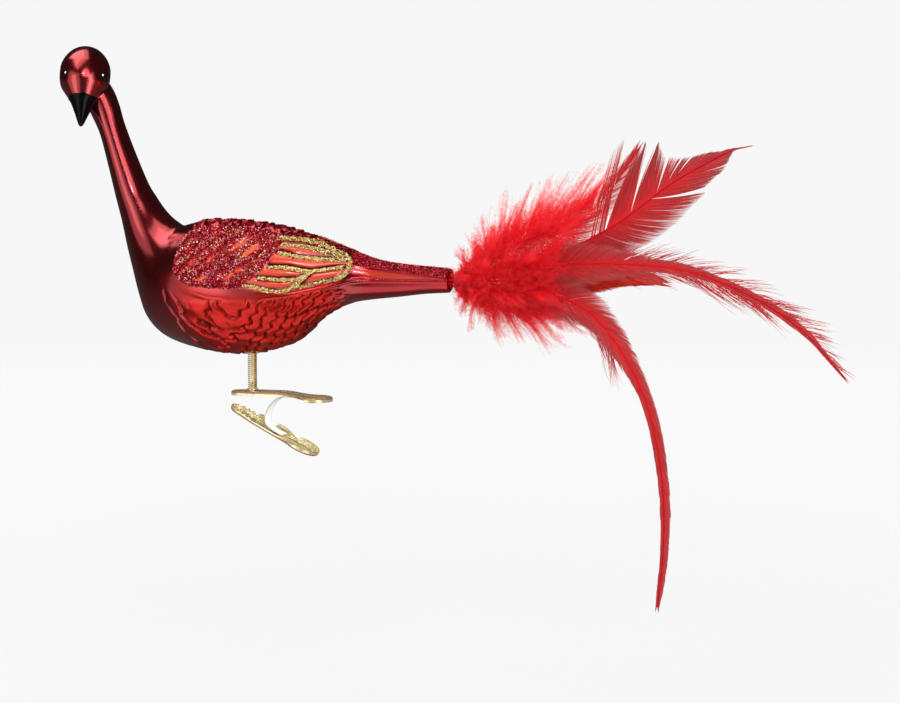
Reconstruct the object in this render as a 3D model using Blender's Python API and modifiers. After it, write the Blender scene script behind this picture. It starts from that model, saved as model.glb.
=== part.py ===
"""Clip-on blown-glass bird ornament with a feather tail.

The frame is in metres with +Z up. The bird's head is towards -X and its tail towards +X.
The origin is the point between the clip's jaws where a branch is gripped.
Shapes are given in millimetres and converted by mm().
"""

from math import cos, pi, radians, sin, tau

import bmesh
import bpy
from mathutils import Matrix, Vector

# ---- fits ----
GAP = 0.0003  # between pieces that touch
CUT_PAST = 0.001  # how far a cutter runs past the face that it opens
MERGE = 0.00001
ROUND_SIDES = 20  # of turned pieces and round cutters
SHARP_ANGLE = radians(40)
CUTTER_TURN = 0.1  # turn of a round cutter, which keeps its corners off the planes of symmetry

# ---- blown glass ----
GLASS_WALL = 0.0011
GLASS_SEGMENTS = 20
GLASS_STEPS = 2  # rings from one station to the next
# Each station: lower edge x, z; upper edge x, z; half width. From the tail's mouth to the head.
GLASS_STATIONS_MM = (
    (77.4, 40.2, 78.0, 48.6, 4.0),
    (68.5, 39.6, 69.5, 49.2, 4.6),
    (59.0, 38.4, 60.2, 49.9, 5.6),
    (50.0, 37.4, 51.6, 51.2, 6.8),
    (42.5, 36.2, 44.6, 53.4, 8.6),
    (36.0, 34.2, 38.2, 55.4, 10.8),
    (29.0, 30.0, 31.0, 57.8, 13.6),
    (22.0, 23.4, 23.2, 60.6, 16.6),
    (12.0, 19.0, 12.2, 63.2, 19.2),
    (0.5, 17.3, 2.2, 64.4, 20.4),
    (-11.5, 17.7, -7.0, 64.8, 20.2),
    (-22.0, 19.6, -14.5, 64.6, 18.8),
    (-30.4, 23.0, -19.8, 63.4, 16.6),
    (-36.2, 28.6, -23.6, 62.6, 14.2),
    (-39.6, 36.6, -26.4, 64.0, 12.0),
    (-42.2, 45.4, -29.2, 66.2, 10.2),
    (-44.7, 54.4, -32.0, 69.2, 8.8),
    (-46.9, 63.6, -35.0, 73.4, 7.6),
    (-49.6, 73.2, -37.9, 78.0, 6.6),
    (-52.6, 84.8, -42.7, 88.8, 5.8),
    (-55.6, 95.2, -46.8, 99.2, 5.2),
    (-58.8, 101.8, -48.8, 106.0, 5.2),
    (-61.4, 107.0, -51.2, 111.6, 5.2),
    (-62.6, 112.8, -55.0, 117.0, 4.0),
)

# ---- head and beak, turned about one axis from the crown to the tip ----
HEAD_CENTRE_MM = (-60.3, -3.0, 117.6)
BEAK_TILT = radians(25)  # of the beak's axis, out of straight down
BEAK_SIDE = radians(1.6)  # lean of the beak along X as seen from the front
HEAD_TURN = radians(18)  # about Z, from -Y towards +X: where the bird looks
# Each point: radius, height above the centre.
HEAD_PROFILE_MM = (
    (0.0, 9.6),
    (2.9, 9.1),
    (5.5, 7.6),
    (7.6, 5.1),
    (8.8, 2.4),
    (9.1, 0.0),
    (9.0, -3.2),
    (8.4, -5.9),
    (7.3, -7.7),
    (6.0, -9.6),
    (4.4, -12.0),
    (3.4, -14.2),
    (2.4, -16.6),
    (1.5, -19.0),
    (0.8, -20.8),
    (0.0, -21.6),
)
BEAK_SOLID = 0.0055  # solid length of the beak's tip
BEAK_NARROWEST = 1.3  # the hollow ends where the beak's radius is this many walls
HEAD_STEPS = 24

# ---- stem ----
STEM_X = 0.0030
STEM_WIRE = 0.00062
STEM_RADIUS = 0.00141  # of the coil's centre line
STEM_PITCH = 0.00071
STEM_FOOT = 0.0050
STEM_TOP = 0.0208
STEM_POINTS = 8  # for each turn

BELLY_HOLE = 0.0036
BELLY_CUT_LOW = 0.0100  # the hole's cutter runs from below the belly
BELLY_CUT_HIGH = 0.0260  # to inside the body
GLUE_RADIUS = BELLY_HOLE - GAP
GLUE_BASE = 0.0172
GLUE_TOP = 0.0218
GLUE_HEAD_RADIUS = 0.0048
GLUE_HEAD_TOP = 0.0240
BUTTON_TOP = 0.7  # radius of a rounded button's top, as a share of its radius
GLUE_BORE = STEM_RADIUS + STEM_WIRE / 2 + GAP
GLUE_BORE_TOP = STEM_TOP + STEM_WIRE / 2 + GAP

# ---- clip levers: two stampings of one kind, each in its own frame ----
# A lever's frame has its nose at the origin, +X to the finger pad and +Z out of the clip.
SHEET = 0.0005
LEVER_RIM = 0.0017
NOSE_HALF = 0.0040
NOSE_END = 0.0045  # the nose is round up to here
WAIST_HALF = 0.0050
WAIST_START = 0.0110  # the lever is widest short of the pad from here
WAIST_END = 0.0210  # to here
PAD_HALF = 0.0068
PAD_TURN = radians(50)  # where the pad's round outline leaves the waist
STEP_FROM = 0.0190  # the pad steps in towards the other lever from here
STEP_TO = 0.0315  # to here
STEP_CUTS = 4
OUTLINE_POINTS = 7  # for each rounded end of the outline
UPPER_LENGTH = 0.0383
UPPER_NOSE = Vector((-0.0050, 0.0, 0.0036))
UPPER_STEP = 0.0014
LOWER_LENGTH = 0.0368
LOWER_NOSE = Vector((-0.0055, 0.0, -0.0029))
LOWER_PITCH = radians(27.3)
LOWER_STEP = 0.0003
TOOTH_X = (0.0074, 0.0100)  # where each notch beside a tooth begins, from the nose
TOOTH_DEPTH = 0.0007
TOOTH_LENGTH = 0.0014
RIVET_HOLE = 0.0012

# ---- rivet ----
RIVET_SHANK = RIVET_HOLE - GAP
RIVET_FLANGE = 0.0020
RIVET_FLANGE_HEIGHT = 0.0005
RIVET_HEAD = 0.0018
RIVET_HEAD_HEIGHT = 0.0005
RIVET_SPIGOT = 0.0007  # radius inside the coil
RIVET_SPIGOT_TOP = 0.0068

# ---- leaf spring ----
LEAF_THICKNESS = 0.0003
LEAF_HALF_WIDTH = 0.0030
# Along the strip, x and z, from its end in the upper lever to its end in the lower one.
LEAF_PATH_MM = (
    (19.0, 1.80),
    (16.0, 1.95),
    (13.4, 1.20),
    (11.2, -0.70),
    (9.6, -3.10),
    (8.8, -5.60),
    (9.1, -8.00),
    (11.4, -10.10),
    (15.0, -11.95),
)

# ---- tail ----
TAIL_MOUTH = Vector((0.0777, 0.0, 0.0444))
PLUG_RADIUS = 0.0026
PLUG_LENGTH = 0.0100
PLUG_DEPTH = 0.0016  # of the plug's outer face inside the mouth
QUILL_RADIUS = 0.00042
QUILL_SIDES = 8
INNER_QUILLS = 5
INNER_RING = 0.00080
OUTER_RING = 0.00205
BINDING_START = 0.0798
BINDING_LENGTH = 0.0030
BINDING_INNER = OUTER_RING + QUILL_RADIUS + GAP
BINDING_OUTER = BINDING_INNER + 0.0007
BINDING_TURNS = 5
BINDING_FLAT = 0.3  # half the length of a turn's crest, as a share of the pitch

# Each feather: the path of its shaft (x, y, z) after the quill bundle, and, at each of those
# points, the half width of the vane.
FEATHERS_MM = {
    "feather_upper": (
        ((100, 0.4, 47.8), (118, 1.5, 55.0), (136, 4.0, 64.6), (155, 6.0, 78.6), (168, 7.0, 85.6),
         (182, 8.0, 91.6)),
        (0.5, 1.2, 8.5, 9.0, 4.5, 0.6),
    ),
    "feather_drooping": (
        ((99, -1.8, 46.8), (118, -6.0, 50.6), (138, -9.0, 51.9), (162, -11.0, 50.2),
         (184, -12.0, 43.0), (203, -13.0, 31.4), (218, -14.0, 15.8)),
        (0.5, 1.0, 3.2, 3.4, 3.2, 2.6, 0.6),
    ),
    "feather_hanging": (
        ((98, -1.6, 43.0), (115, -6.0, 41.4), (131, -10.0, 34.8), (144, -13.0, 20.0),
         (152.5, -14.0, 2.0), (157.2, -15.0, -20.0), (158.0, -15.0, -42.0), (156.0, -15.0, -63.6)),
        (0.5, 1.0, 3.0, 3.2, 2.6, 1.9, 1.4, 0.5),
    ),
    "feather_middle": (
        ((100, 0.9, 44.6), (120, 1.4, 46.4), (140, 1.6, 47.2), (155, 1.4, 45.6), (166, 1.0, 42.6)),
        (0.5, 1.2, 5.0, 4.0, 0.6),
    ),
    "feather_upper_short": (
        ((98, 1.8, 48.0), (112, 5.0, 56.4), (124, 8.5, 67.0), (134, 11.0, 78.0), (141, 13.0, 90.0)),
        (0.5, 1.0, 4.0, 4.5, 0.6),
    ),
}
FEATHER_STEPS = 3
VANE_NARROWEST = QUILL_RADIUS / 2

# The marabou plumes stand evenly around the quill bundle, from the top towards -Y. Each: its
# length along the tail's axis, and how far its tip opens from that axis.
PLUMES_MM = ((48, 29), (42, 26), (36, 21), (32, 20), (29, 21), (29, 21), (32, 20), (36, 21), (42, 26))
PLUME_STEPS = 8
PLUME_BEND = 0.45  # share of a plume's length and opening that curves rather than runs straight
PLUME_FILL = 0.84  # of the room that a plume has beside its neighbours
PLUME_TAPER = 0.62  # where along a plume it begins to narrow
PLUME_POINT = 1.02  # where it would come to a point
TAIL_RISE = radians(10)  # the plumes' axis rises from the glass pipe's

# ---- colours: base colour, roughness, metallic ----
FINISHES = {
    "red_glass": ((0.45, 0.01, 0.02), 0.12, 0.9),
    "glue": ((0.75, 0.62, 0.35), 0.4, 0.0),
    "gilt_wire": ((0.83, 0.66, 0.32), 0.25, 1.0),
    "gilt_sheet": ((0.86, 0.72, 0.40), 0.2, 1.0),
    "spring_steel": ((0.80, 0.80, 0.78), 0.15, 1.0),
    "cork": ((0.55, 0.38, 0.22), 0.8, 0.0),
    "thread": ((0.50, 0.03, 0.04), 0.7, 0.0),
    "feather": ((0.70, 0.03, 0.04), 0.6, 0.0),
    "fluff": ((0.75, 0.02, 0.05), 0.8, 0.0),
}


def mm(*values):
    """A point or a size given in millimetres, in metres."""
    return Vector(values) * 0.001


def clear_scene():
    for old in list(bpy.data.objects):
        bpy.data.objects.remove(old, do_unlink=True)


def new_collection(name):
    made = bpy.data.collections.new(name)
    bpy.context.scene.collection.children.link(made)
    return made


def make_material(name):
    colour, roughness, metallic = FINISHES[name]
    made = bpy.data.materials.new(name)
    made.use_nodes = True
    shader = made.node_tree.nodes["Principled BSDF"]
    shader.inputs["Base Color"].default_value = (*colour, 1.0)
    shader.inputs["Roughness"].default_value = roughness
    shader.inputs["Metallic"].default_value = metallic
    return made


def add_object(name, data, finish=None, cutter=False):
    """A new object in the parts' collection, or a hidden one in the cutters'."""
    made = bpy.data.objects.new(name, data)
    (CUTTERS if cutter else PARTS).objects.link(made)
    if cutter:
        made.hide_render = True
        made.display_type = "WIRE"
    if finish:
        data.materials.append(MATERIALS[finish])
    return made


def smooth_path(rows, steps):
    """Rows of numbers with a Catmull-Rom curve's rows between them."""
    rows = [Vector(row) for row in rows]
    padded = [2 * rows[0] - rows[1], *rows, 2 * rows[-1] - rows[-2]]
    found = []
    for a, b, c, d in zip(padded, padded[1:], padded[2:], padded[3:]):
        for step in range(steps):
            t = step / steps
            squared = (2 * a - 5 * b + 4 * c - d) * t**2
            cubed = (3 * b - a - 3 * c + d) * t**3
            found.append((2 * b + (c - a) * t + squared + cubed) / 2)
    return [*found, rows[-1]]


def loft(name, rings):
    """A skin over rings of points, with a flat cap on each end."""
    mesh = bpy.data.meshes.new(name)
    body = bmesh.new()
    rows = [[body.verts.new(point) for point in ring] for ring in rings]
    for near, far in zip(rows, rows[1:]):
        for k in range(len(near)):
            after = (k + 1) % len(near)
            body.faces.new((near[k], near[after], far[after], far[k]))
    body.faces.new(rows[0])
    body.faces.new(rows[-1])
    bmesh.ops.recalc_face_normals(body, faces=body.faces)
    body.to_mesh(mesh)
    body.free()
    mesh.shade_smooth()
    mesh.set_sharp_from_angle(angle=SHARP_ANGLE)
    return mesh


def turned(name, profile, steps, finish=None, cutter=False, hollow=False):
    """A solid of revolution about Z. The profile's points are (radius, height), top first.

    A hollow profile joins its last point to its first, clear of the axis.
    """
    mesh = bpy.data.meshes.new(name)
    points = [(radius, 0.0, height) for radius, height in profile]
    edges = [(k, k + 1) for k in range(len(points) - 1)]
    if hollow:
        edges.append((len(points) - 1, 0))
    mesh.from_pydata(points, edges, [])
    made = add_object(name, mesh, finish, cutter)
    screw = made.modifiers.new("turn", "SCREW")
    screw.steps = steps
    screw.render_steps = steps
    screw.use_merge_vertices = True
    screw.merge_threshold = MERGE
    return made


def combine(target, other, operation="DIFFERENCE"):
    """Cuts the other solid out of the target, or joins it on with "UNION"."""
    step = target.modifiers.new(other.name, "BOOLEAN")
    step.operation = operation
    step.object = other
    step.solver = "EXACT"


def cylinder_cutter(name, radius, low, high, x):
    mesh = bpy.data.meshes.new(name)
    body = bmesh.new()
    round_both = {"radius1": radius, "radius2": radius, "segments": ROUND_SIDES}
    bmesh.ops.create_cone(body, cap_ends=True, depth=high - low, **round_both)
    body.to_mesh(mesh)
    body.free()
    made = add_object(name, mesh, cutter=True)
    middle = Matrix.Translation((x, 0.0, (high + low) / 2))
    made.matrix_world = middle @ Matrix.Rotation(CUTTER_TURN, 4, "Z")
    return made


# ---- glass ----


def glass_rings(inset):
    """The glass's oval sections, from the tail's mouth to inside the head."""
    rings = []
    for low_x, low_z, high_x, high_z, half_width in smooth_path(GLASS_STATIONS_MM, GLASS_STEPS):
        low = mm(low_x, 0, low_z)
        high = mm(high_x, 0, high_z)
        centre, reach = (low + high) / 2, (high - low) / 2
        reach *= 1 - inset / reach.length
        across = Vector((0, half_width * 0.001 - inset, 0))
        angles = [tau * k / GLASS_SEGMENTS for k in range(GLASS_SEGMENTS)]
        rings.append([centre + reach * cos(a) + across * sin(a) for a in angles])
    return rings


def head_profile(inset):
    """The head's and beak's outline, drawn in by the wall; the inner one stops in the beak."""
    points = [mm(radius, height) for radius, height in HEAD_PROFILE_MM]
    if not inset:
        return points
    crown, tip = points[0][1] - inset, points[-1][1] + BEAK_SOLID
    inner = [(0.0, crown)]
    for radius, height in points[1:-1]:
        if radius > inset * BEAK_NARROWEST and tip < height < crown:
            inner.append((radius - inset, height))
    return [*inner, (0.0, tip)]


def head_matrix():
    """Turns the head's axis, which is made along Z, to where the beak points."""
    lean = Matrix.Rotation(BEAK_SIDE, 4, "Y")
    tilt = Matrix.Rotation(-BEAK_TILT, 4, "X")
    turn = Matrix.Rotation(HEAD_TURN, 4, "Z")
    return Matrix.Translation(mm(*HEAD_CENTRE_MM)) @ turn @ tilt @ lean


def make_glass():
    glass = add_object("glass_bird", loft("glass_bird", glass_rings(0)), "red_glass")
    head = turned("head_outside", head_profile(0), HEAD_STEPS, cutter=True)
    head.matrix_world = head_matrix()
    combine(glass, head, "UNION")

    rings = glass_rings(GLASS_WALL)
    past = (rings[0][0] - rings[1][0]).normalized() * CUT_PAST
    rings.insert(0, [point + past for point in rings[0]])
    hollow = add_object("body_hollow", loft("body_hollow", rings), cutter=True)
    head_hollow = turned("head_hollow", head_profile(GLASS_WALL), HEAD_STEPS, cutter=True)
    head_hollow.matrix_world = head_matrix()
    belly = cylinder_cutter("belly_hole", BELLY_HOLE, BELLY_CUT_LOW, BELLY_CUT_HIGH, STEM_X)
    for cutter in (hollow, head_hollow, belly):
        combine(glass, cutter)


# ---- stem ----


def make_stem_spring():
    """A close-wound coil, whose turns just clear each other."""
    turns = (STEM_TOP - STEM_FOOT) / STEM_PITCH
    count = int(turns * STEM_POINTS)
    curve = bpy.data.curves.new("stem_spring", "CURVE")
    curve.dimensions = "3D"
    curve.bevel_depth = STEM_WIRE / 2
    curve.bevel_resolution = 2
    curve.use_fill_caps = True
    spline = curve.splines.new("POLY")
    spline.points.add(count)
    for k, point in enumerate(spline.points):
        angle = tau * k / STEM_POINTS
        height = STEM_FOOT + STEM_PITCH * k / STEM_POINTS
        point.co = (STEM_RADIUS * cos(angle), STEM_RADIUS * sin(angle), height, 1.0)
    spring = add_object("stem_spring", curve, "gilt_wire")
    spring.location = (STEM_X, 0.0, 0.0)


def make_belly_glue():
    """The plug in the belly's hole, with a head inside the glass and a bore for the coil."""
    profile = (
        (0.0, GLUE_HEAD_TOP),
        (GLUE_HEAD_RADIUS * BUTTON_TOP, GLUE_HEAD_TOP - GAP),
        (GLUE_HEAD_RADIUS, GLUE_TOP + GAP),
        (GLUE_RADIUS, GLUE_TOP - GAP),
        (GLUE_RADIUS, GLUE_BASE),
        (GLUE_BORE, GLUE_BASE),
        (GLUE_BORE, GLUE_BORE_TOP),
        (0.0, GLUE_BORE_TOP),
    )
    glue = turned("belly_glue", profile, ROUND_SIDES, "glue")
    glue.location = (STEM_X, 0.0, 0.0)


def make_rivet():
    """Flange under the coil, spigot inside it, shank through the lever, head below it."""
    plate_top = UPPER_NOSE.z
    plate_base = plate_top - SHEET
    flange_base = plate_top + GAP
    profile = (
        (0.0, RIVET_SPIGOT_TOP),
        (RIVET_SPIGOT, RIVET_SPIGOT_TOP - GAP),
        (RIVET_SPIGOT, flange_base + RIVET_FLANGE_HEIGHT),
        (RIVET_FLANGE, flange_base + RIVET_FLANGE_HEIGHT),
        (RIVET_FLANGE, flange_base),
        (RIVET_SHANK, flange_base),
        (RIVET_SHANK, plate_base - GAP),
        (RIVET_HEAD, plate_base - GAP),
        (RIVET_HEAD * BUTTON_TOP, plate_base - GAP - RIVET_HEAD_HEIGHT),
        (0.0, plate_base - GAP - RIVET_HEAD_HEIGHT),
    )
    rivet = turned("stem_rivet", profile, ROUND_SIDES, "gilt_sheet")
    rivet.location = (STEM_X, 0.0, 0.0)


# ---- clip ----


def lever_outline(length, inset):
    """The lever's plan, anticlockwise, drawn in by inset."""
    nose, waist, pad = (half - inset for half in (NOSE_HALF, WAIST_HALF, PAD_HALF))
    end = length - inset
    pad_centre = length - PAD_HALF
    side = []
    for k in range(OUTLINE_POINTS):
        turn = pi / 2 * (k + 0.5) / (OUTLINE_POINTS - 0.5)
        side.append((NOSE_END - (NOSE_END - inset) * cos(turn), nose * sin(turn)))
    side += [(WAIST_START, waist), (WAIST_END, waist)]
    for k in range(2 * OUTLINE_POINTS):
        turn = PAD_TURN + (pi - PAD_TURN) * k / (2 * OUTLINE_POINTS - 0.5)
        side.append((pad_centre - (end - pad_centre) * cos(turn), pad * sin(turn)))
    return [(x, -y) for x, y in side] + [(x, y) for x, y in reversed(side)]


def flat_plate(name, outline, low, high):
    """An outline filled and given a thickness, as a mesh."""
    curve = bpy.data.curves.new(name, "CURVE")
    curve.dimensions = "2D"
    curve.fill_mode = "BOTH"
    curve.extrude = (high - low) / 2
    spline = curve.splines.new("POLY")
    spline.points.add(len(outline) - 1)
    for point, (x, y) in zip(spline.points, outline):
        point.co = (x, y, 0.0, 1.0)
    spline.use_cyclic_u = True
    drawn = add_object(name + "_plan", curve, cutter=True)
    bpy.context.view_layer.update()
    graph = bpy.context.evaluated_depsgraph_get()
    mesh = bpy.data.meshes.new_from_object(drawn.evaluated_get(graph))
    bpy.data.objects.remove(drawn)
    body = bmesh.new()
    body.from_mesh(mesh)
    bmesh.ops.remove_doubles(body, verts=body.verts, dist=MERGE)
    bmesh.ops.translate(body, verts=body.verts, vec=(0, 0, (high + low) / 2))
    bmesh.ops.recalc_face_normals(body, faces=body.faces)
    body.to_mesh(mesh)
    body.free()
    return mesh


def box_mesh(name, low, high):
    mesh = bpy.data.meshes.new(name)
    body = bmesh.new()
    size = [b - a for a, b in zip(low, high)]
    middle = [(b + a) / 2 for a, b in zip(low, high)]
    bmesh.ops.create_cube(body, size=1.0)
    bmesh.ops.scale(body, verts=body.verts, vec=size)
    bmesh.ops.translate(body, verts=body.verts, vec=middle)
    body.to_mesh(mesh)
    body.free()
    return mesh


def stepped(mesh, drop):
    """Bends a lever's solid so that its pad lies lower than its front."""
    body = bmesh.new()
    body.from_mesh(mesh)
    bmesh.ops.triangulate(body, faces=body.faces)
    for k in range(STEP_CUTS + 1):
        x = STEP_FROM + (STEP_TO - STEP_FROM) * k / STEP_CUTS
        geometry = [*body.verts, *body.edges, *body.faces]
        place = {"plane_co": (x, 0, 0), "plane_no": (1, 0, 0)}
        bmesh.ops.bisect_plane(body, geom=geometry, dist=MERGE / 10, **place)
    for vertex in body.verts:
        t = min(max((vertex.co.x - STEP_FROM) / (STEP_TO - STEP_FROM), 0.0), 1.0)
        vertex.co.z -= drop * t * t * (3 - 2 * t)
    body.to_mesh(mesh)
    body.free()
    return mesh


def make_lever(name, length, drop, placed, rivet_hole=None):
    """A tray with its rim turned in, and notches between two teeth on each side of the nose."""
    outside = stepped(flat_plate(name, lever_outline(length, 0), -LEVER_RIM, 0), drop)
    lever = add_object(name, outside, "gilt_sheet")
    inside = flat_plate(name, lever_outline(length, SHEET), -LEVER_RIM - CUT_PAST, -SHEET)
    inside = stepped(inside, drop)
    cutters = [add_object(name + "_inside", inside, cutter=True)]
    if rivet_hole is not None:
        hole = cylinder_cutter(name + "_hole", RIVET_HOLE, -LEVER_RIM, CUT_PAST, rivet_hole)
        cutters.append(hole)
    for x in TOOTH_X:
        low = (x, -WAIST_HALF - CUT_PAST, -LEVER_RIM - CUT_PAST)
        high = (x + TOOTH_LENGTH, WAIST_HALF + CUT_PAST, -LEVER_RIM + TOOTH_DEPTH)
        notch = box_mesh(name + "_notch", low, high)
        cutters.append(add_object(name + "_notch", notch, cutter=True))
    for cutter in cutters:
        cutter.matrix_world = placed @ cutter.matrix_basis
        combine(lever, cutter)
    lever.matrix_world = placed


def make_upper_lever():
    """The level lever, open side down, with the rivet's hole."""
    placed = Matrix.Translation(UPPER_NOSE)
    make_lever("clip_upper_lever", UPPER_LENGTH, UPPER_STEP, placed, STEM_X - UPPER_NOSE.x)


def make_lower_lever():
    """The same stamping turned over, open side up."""
    placed = Matrix.Translation(LOWER_NOSE) @ Matrix.Rotation(LOWER_PITCH, 4, "Y")
    make_lever("clip_lower_lever", LOWER_LENGTH, LOWER_STEP, placed @ Matrix.Rotation(pi, 4, "X"))


def make_leaf_spring():
    """A thin strip bowed between the levers."""
    path = smooth_path(LEAF_PATH_MM, 2)
    mesh = bpy.data.meshes.new("clip_leaf_spring")
    body = bmesh.new()
    rows = []
    for x, z in path:
        near = body.verts.new((x * 0.001, -LEAF_HALF_WIDTH, z * 0.001))
        far = body.verts.new((x * 0.001, LEAF_HALF_WIDTH, z * 0.001))
        rows.append((near, far))
    for (a, b), (c, d) in zip(rows, rows[1:]):
        body.faces.new((a, b, d, c))
    body.to_mesh(mesh)
    body.free()
    strip = add_object("clip_leaf_spring", mesh, "spring_steel")
    thicken = strip.modifiers.new("thickness", "SOLIDIFY")
    thicken.thickness = LEAF_THICKNESS
    thicken.offset = 0.0


# ---- tail ----


def quill_place(number):
    """Where a quill stands in the bundle: the feathers' inside, the plumes' around them."""
    if number < INNER_QUILLS:
        angle = tau * number / INNER_QUILLS
        return Vector((0, -sin(angle), cos(angle))) * INNER_RING
    angle = tau * (number - INNER_QUILLS) / len(PLUMES_MM)
    return Vector((0, -sin(angle), cos(angle))) * OUTER_RING


def shaft_rings(path, half_widths, thicknesses, normal):
    """Oval sections along a path. A section is widest across the path and square to normal."""
    rings = []
    for k, point in enumerate(path):
        before, after = path[max(k - 1, 0)], path[min(k + 1, len(path) - 1)]
        along = (after - before).normalized()
        across = along.cross(normal).normalized()
        thick = across.cross(along).normalized()
        ring = []
        for side in range(QUILL_SIDES):
            angle = tau * side / QUILL_SIDES
            wide = across * half_widths[k] * cos(angle)
            ring.append(point + wide + thick * thicknesses[k] * sin(angle))
        rings.append(ring)
    return rings


def make_feather(name, number, path_mm, widths_mm):
    """A quill from the bundle that flattens into a vane."""
    place = quill_place(number)
    start = Vector((TAIL_MOUTH.x - PLUG_DEPTH + GAP, 0, TAIL_MOUTH.z)) + place
    leave = Vector((BINDING_START + BINDING_LENGTH + 2 * GAP, 0, TAIL_MOUTH.z)) + place
    rows = [(*mm(*point), width * 0.001) for point, width in zip(path_mm, widths_mm)]
    rows = [(*start, QUILL_RADIUS), (*leave, QUILL_RADIUS), *rows]
    rows = [rows[0], *smooth_path(rows[1:], FEATHER_STEPS)]
    path = [Vector(row[:3]) for row in rows]
    half_widths = [max(row[3], VANE_NARROWEST) for row in rows]
    thicknesses = [QUILL_RADIUS] * len(rows)
    rings = shaft_rings(path, half_widths, thicknesses, Vector((0, -1, 0)))
    add_object(name, loft(name, rings), "feather")


def make_plume(number):
    """A spindle of fluff on a thin quill, curving away from the tail's axis."""
    length, opening = (size * 0.001 for size in PLUMES_MM[number])
    place = quill_place(INNER_QUILLS + number)
    outward = place.normalized()
    start = Vector((TAIL_MOUTH.x - PLUG_DEPTH + GAP, 0, TAIL_MOUTH.z)) + place
    leave = Vector((BINDING_START + BINDING_LENGTH + 2 * GAP, 0, TAIL_MOUTH.z)) + place
    rise = Matrix.Rotation(-TAIL_RISE, 3, "Y")
    path = [start, leave]
    widths = [QUILL_RADIUS, QUILL_RADIUS]
    for step in range(1, PLUME_STEPS + 1):
        t = step / PLUME_STEPS
        reach = length * (t - PLUME_BEND * (t - t * t))
        away = opening * (t + PLUME_BEND * (t - t * t))
        room = (OUTER_RING + away) * sin(pi / len(PLUMES_MM)) * PLUME_FILL
        narrow = max(t - PLUME_TAPER, 0.0) / (PLUME_POINT - PLUME_TAPER)
        path.append(leave + rise @ (Vector((reach, 0, 0)) + outward * away))
        widths.append(max(room * (1 - narrow**2) ** 0.5, QUILL_RADIUS))
    rings = shaft_rings(path, widths, widths, outward)
    name = f"marabou_plume_{number + 1}"
    add_object(name, loft(name, rings), "fluff")


def make_tail_plug():
    """The plug that closes the glass pipe and holds the quills' ends."""
    profile = (
        (0.0, PLUG_LENGTH / 2),
        (PLUG_RADIUS, PLUG_LENGTH / 2),
        (PLUG_RADIUS, -PLUG_LENGTH / 2),
        (0.0, -PLUG_LENGTH / 2),
    )
    plug = turned("tail_plug", profile, ROUND_SIDES, "cork")
    plug.rotation_euler = (0, pi / 2, 0)
    plug.location = TAIL_MOUTH - Vector((PLUG_DEPTH + PLUG_LENGTH / 2, 0, 0))


def make_binding():
    """Thread wound round the quills: a band with a groove between its turns."""
    outside = []
    pitch = BINDING_LENGTH / BINDING_TURNS
    for k in range(BINDING_TURNS):
        height = BINDING_LENGTH / 2 - pitch * (k + 0.5)
        outside.append((BINDING_OUTER, height + BINDING_FLAT * pitch))
        outside.append((BINDING_OUTER, height - BINDING_FLAT * pitch))
        if k < BINDING_TURNS - 1:
            outside.append((BINDING_OUTER - GAP, height - pitch / 2))
    top, base = (BINDING_INNER, BINDING_LENGTH / 2), (BINDING_INNER, -BINDING_LENGTH / 2)
    profile = [top, *outside, base]
    binding = turned("quill_binding", profile, ROUND_SIDES, "thread", hollow=True)
    binding.rotation_euler = (0, pi / 2, 0)
    binding.location = (BINDING_START + BINDING_LENGTH / 2, 0, TAIL_MOUTH.z)


clear_scene()
PARTS = new_collection("clip_on_glass_bird")
CUTTERS = new_collection("cutters")
MATERIALS = {name: make_material(name) for name in FINISHES}

make_glass()
make_belly_glue()
make_stem_spring()
make_rivet()
make_upper_lever()
make_lower_lever()
make_leaf_spring()
make_tail_plug()
make_binding()
for order, (feather, (shaft, widths)) in enumerate(FEATHERS_MM.items()):
    make_feather(feather, order, shaft, widths)
for order in range(len(PLUMES_MM)):
    make_plume(order)
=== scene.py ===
"""Looks of the clip-on blown-glass bird ornament with a feather tail.

Lengths are in metres in the CAD frame unless a name ends in _MM.
"""

from math import cos, pi, radians, sin, tau

import bpy
import numpy as np
from mathutils import Matrix, Vector
from mathutils.bvhtree import BVHTree


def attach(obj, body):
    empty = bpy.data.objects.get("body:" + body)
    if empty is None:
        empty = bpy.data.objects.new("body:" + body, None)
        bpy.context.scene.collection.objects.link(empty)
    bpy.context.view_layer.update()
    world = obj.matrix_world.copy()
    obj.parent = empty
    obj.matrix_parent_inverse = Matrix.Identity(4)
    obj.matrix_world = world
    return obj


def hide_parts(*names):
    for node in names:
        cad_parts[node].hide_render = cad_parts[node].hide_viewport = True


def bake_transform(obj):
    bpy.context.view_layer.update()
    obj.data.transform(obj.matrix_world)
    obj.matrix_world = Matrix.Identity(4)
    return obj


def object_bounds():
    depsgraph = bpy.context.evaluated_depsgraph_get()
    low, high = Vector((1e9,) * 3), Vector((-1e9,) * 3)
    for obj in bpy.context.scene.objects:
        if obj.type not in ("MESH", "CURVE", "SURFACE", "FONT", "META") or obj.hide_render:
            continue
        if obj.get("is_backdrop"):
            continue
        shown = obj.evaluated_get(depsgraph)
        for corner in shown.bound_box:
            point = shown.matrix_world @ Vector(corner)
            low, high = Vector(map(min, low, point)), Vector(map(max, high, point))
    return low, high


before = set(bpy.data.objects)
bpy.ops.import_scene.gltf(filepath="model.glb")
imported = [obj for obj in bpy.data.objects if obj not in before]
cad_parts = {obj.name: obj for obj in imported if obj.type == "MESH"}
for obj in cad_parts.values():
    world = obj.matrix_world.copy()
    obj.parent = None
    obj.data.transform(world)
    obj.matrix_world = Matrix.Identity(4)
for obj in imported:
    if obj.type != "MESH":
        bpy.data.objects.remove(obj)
CAD_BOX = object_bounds()
MM = 0.001

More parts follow.
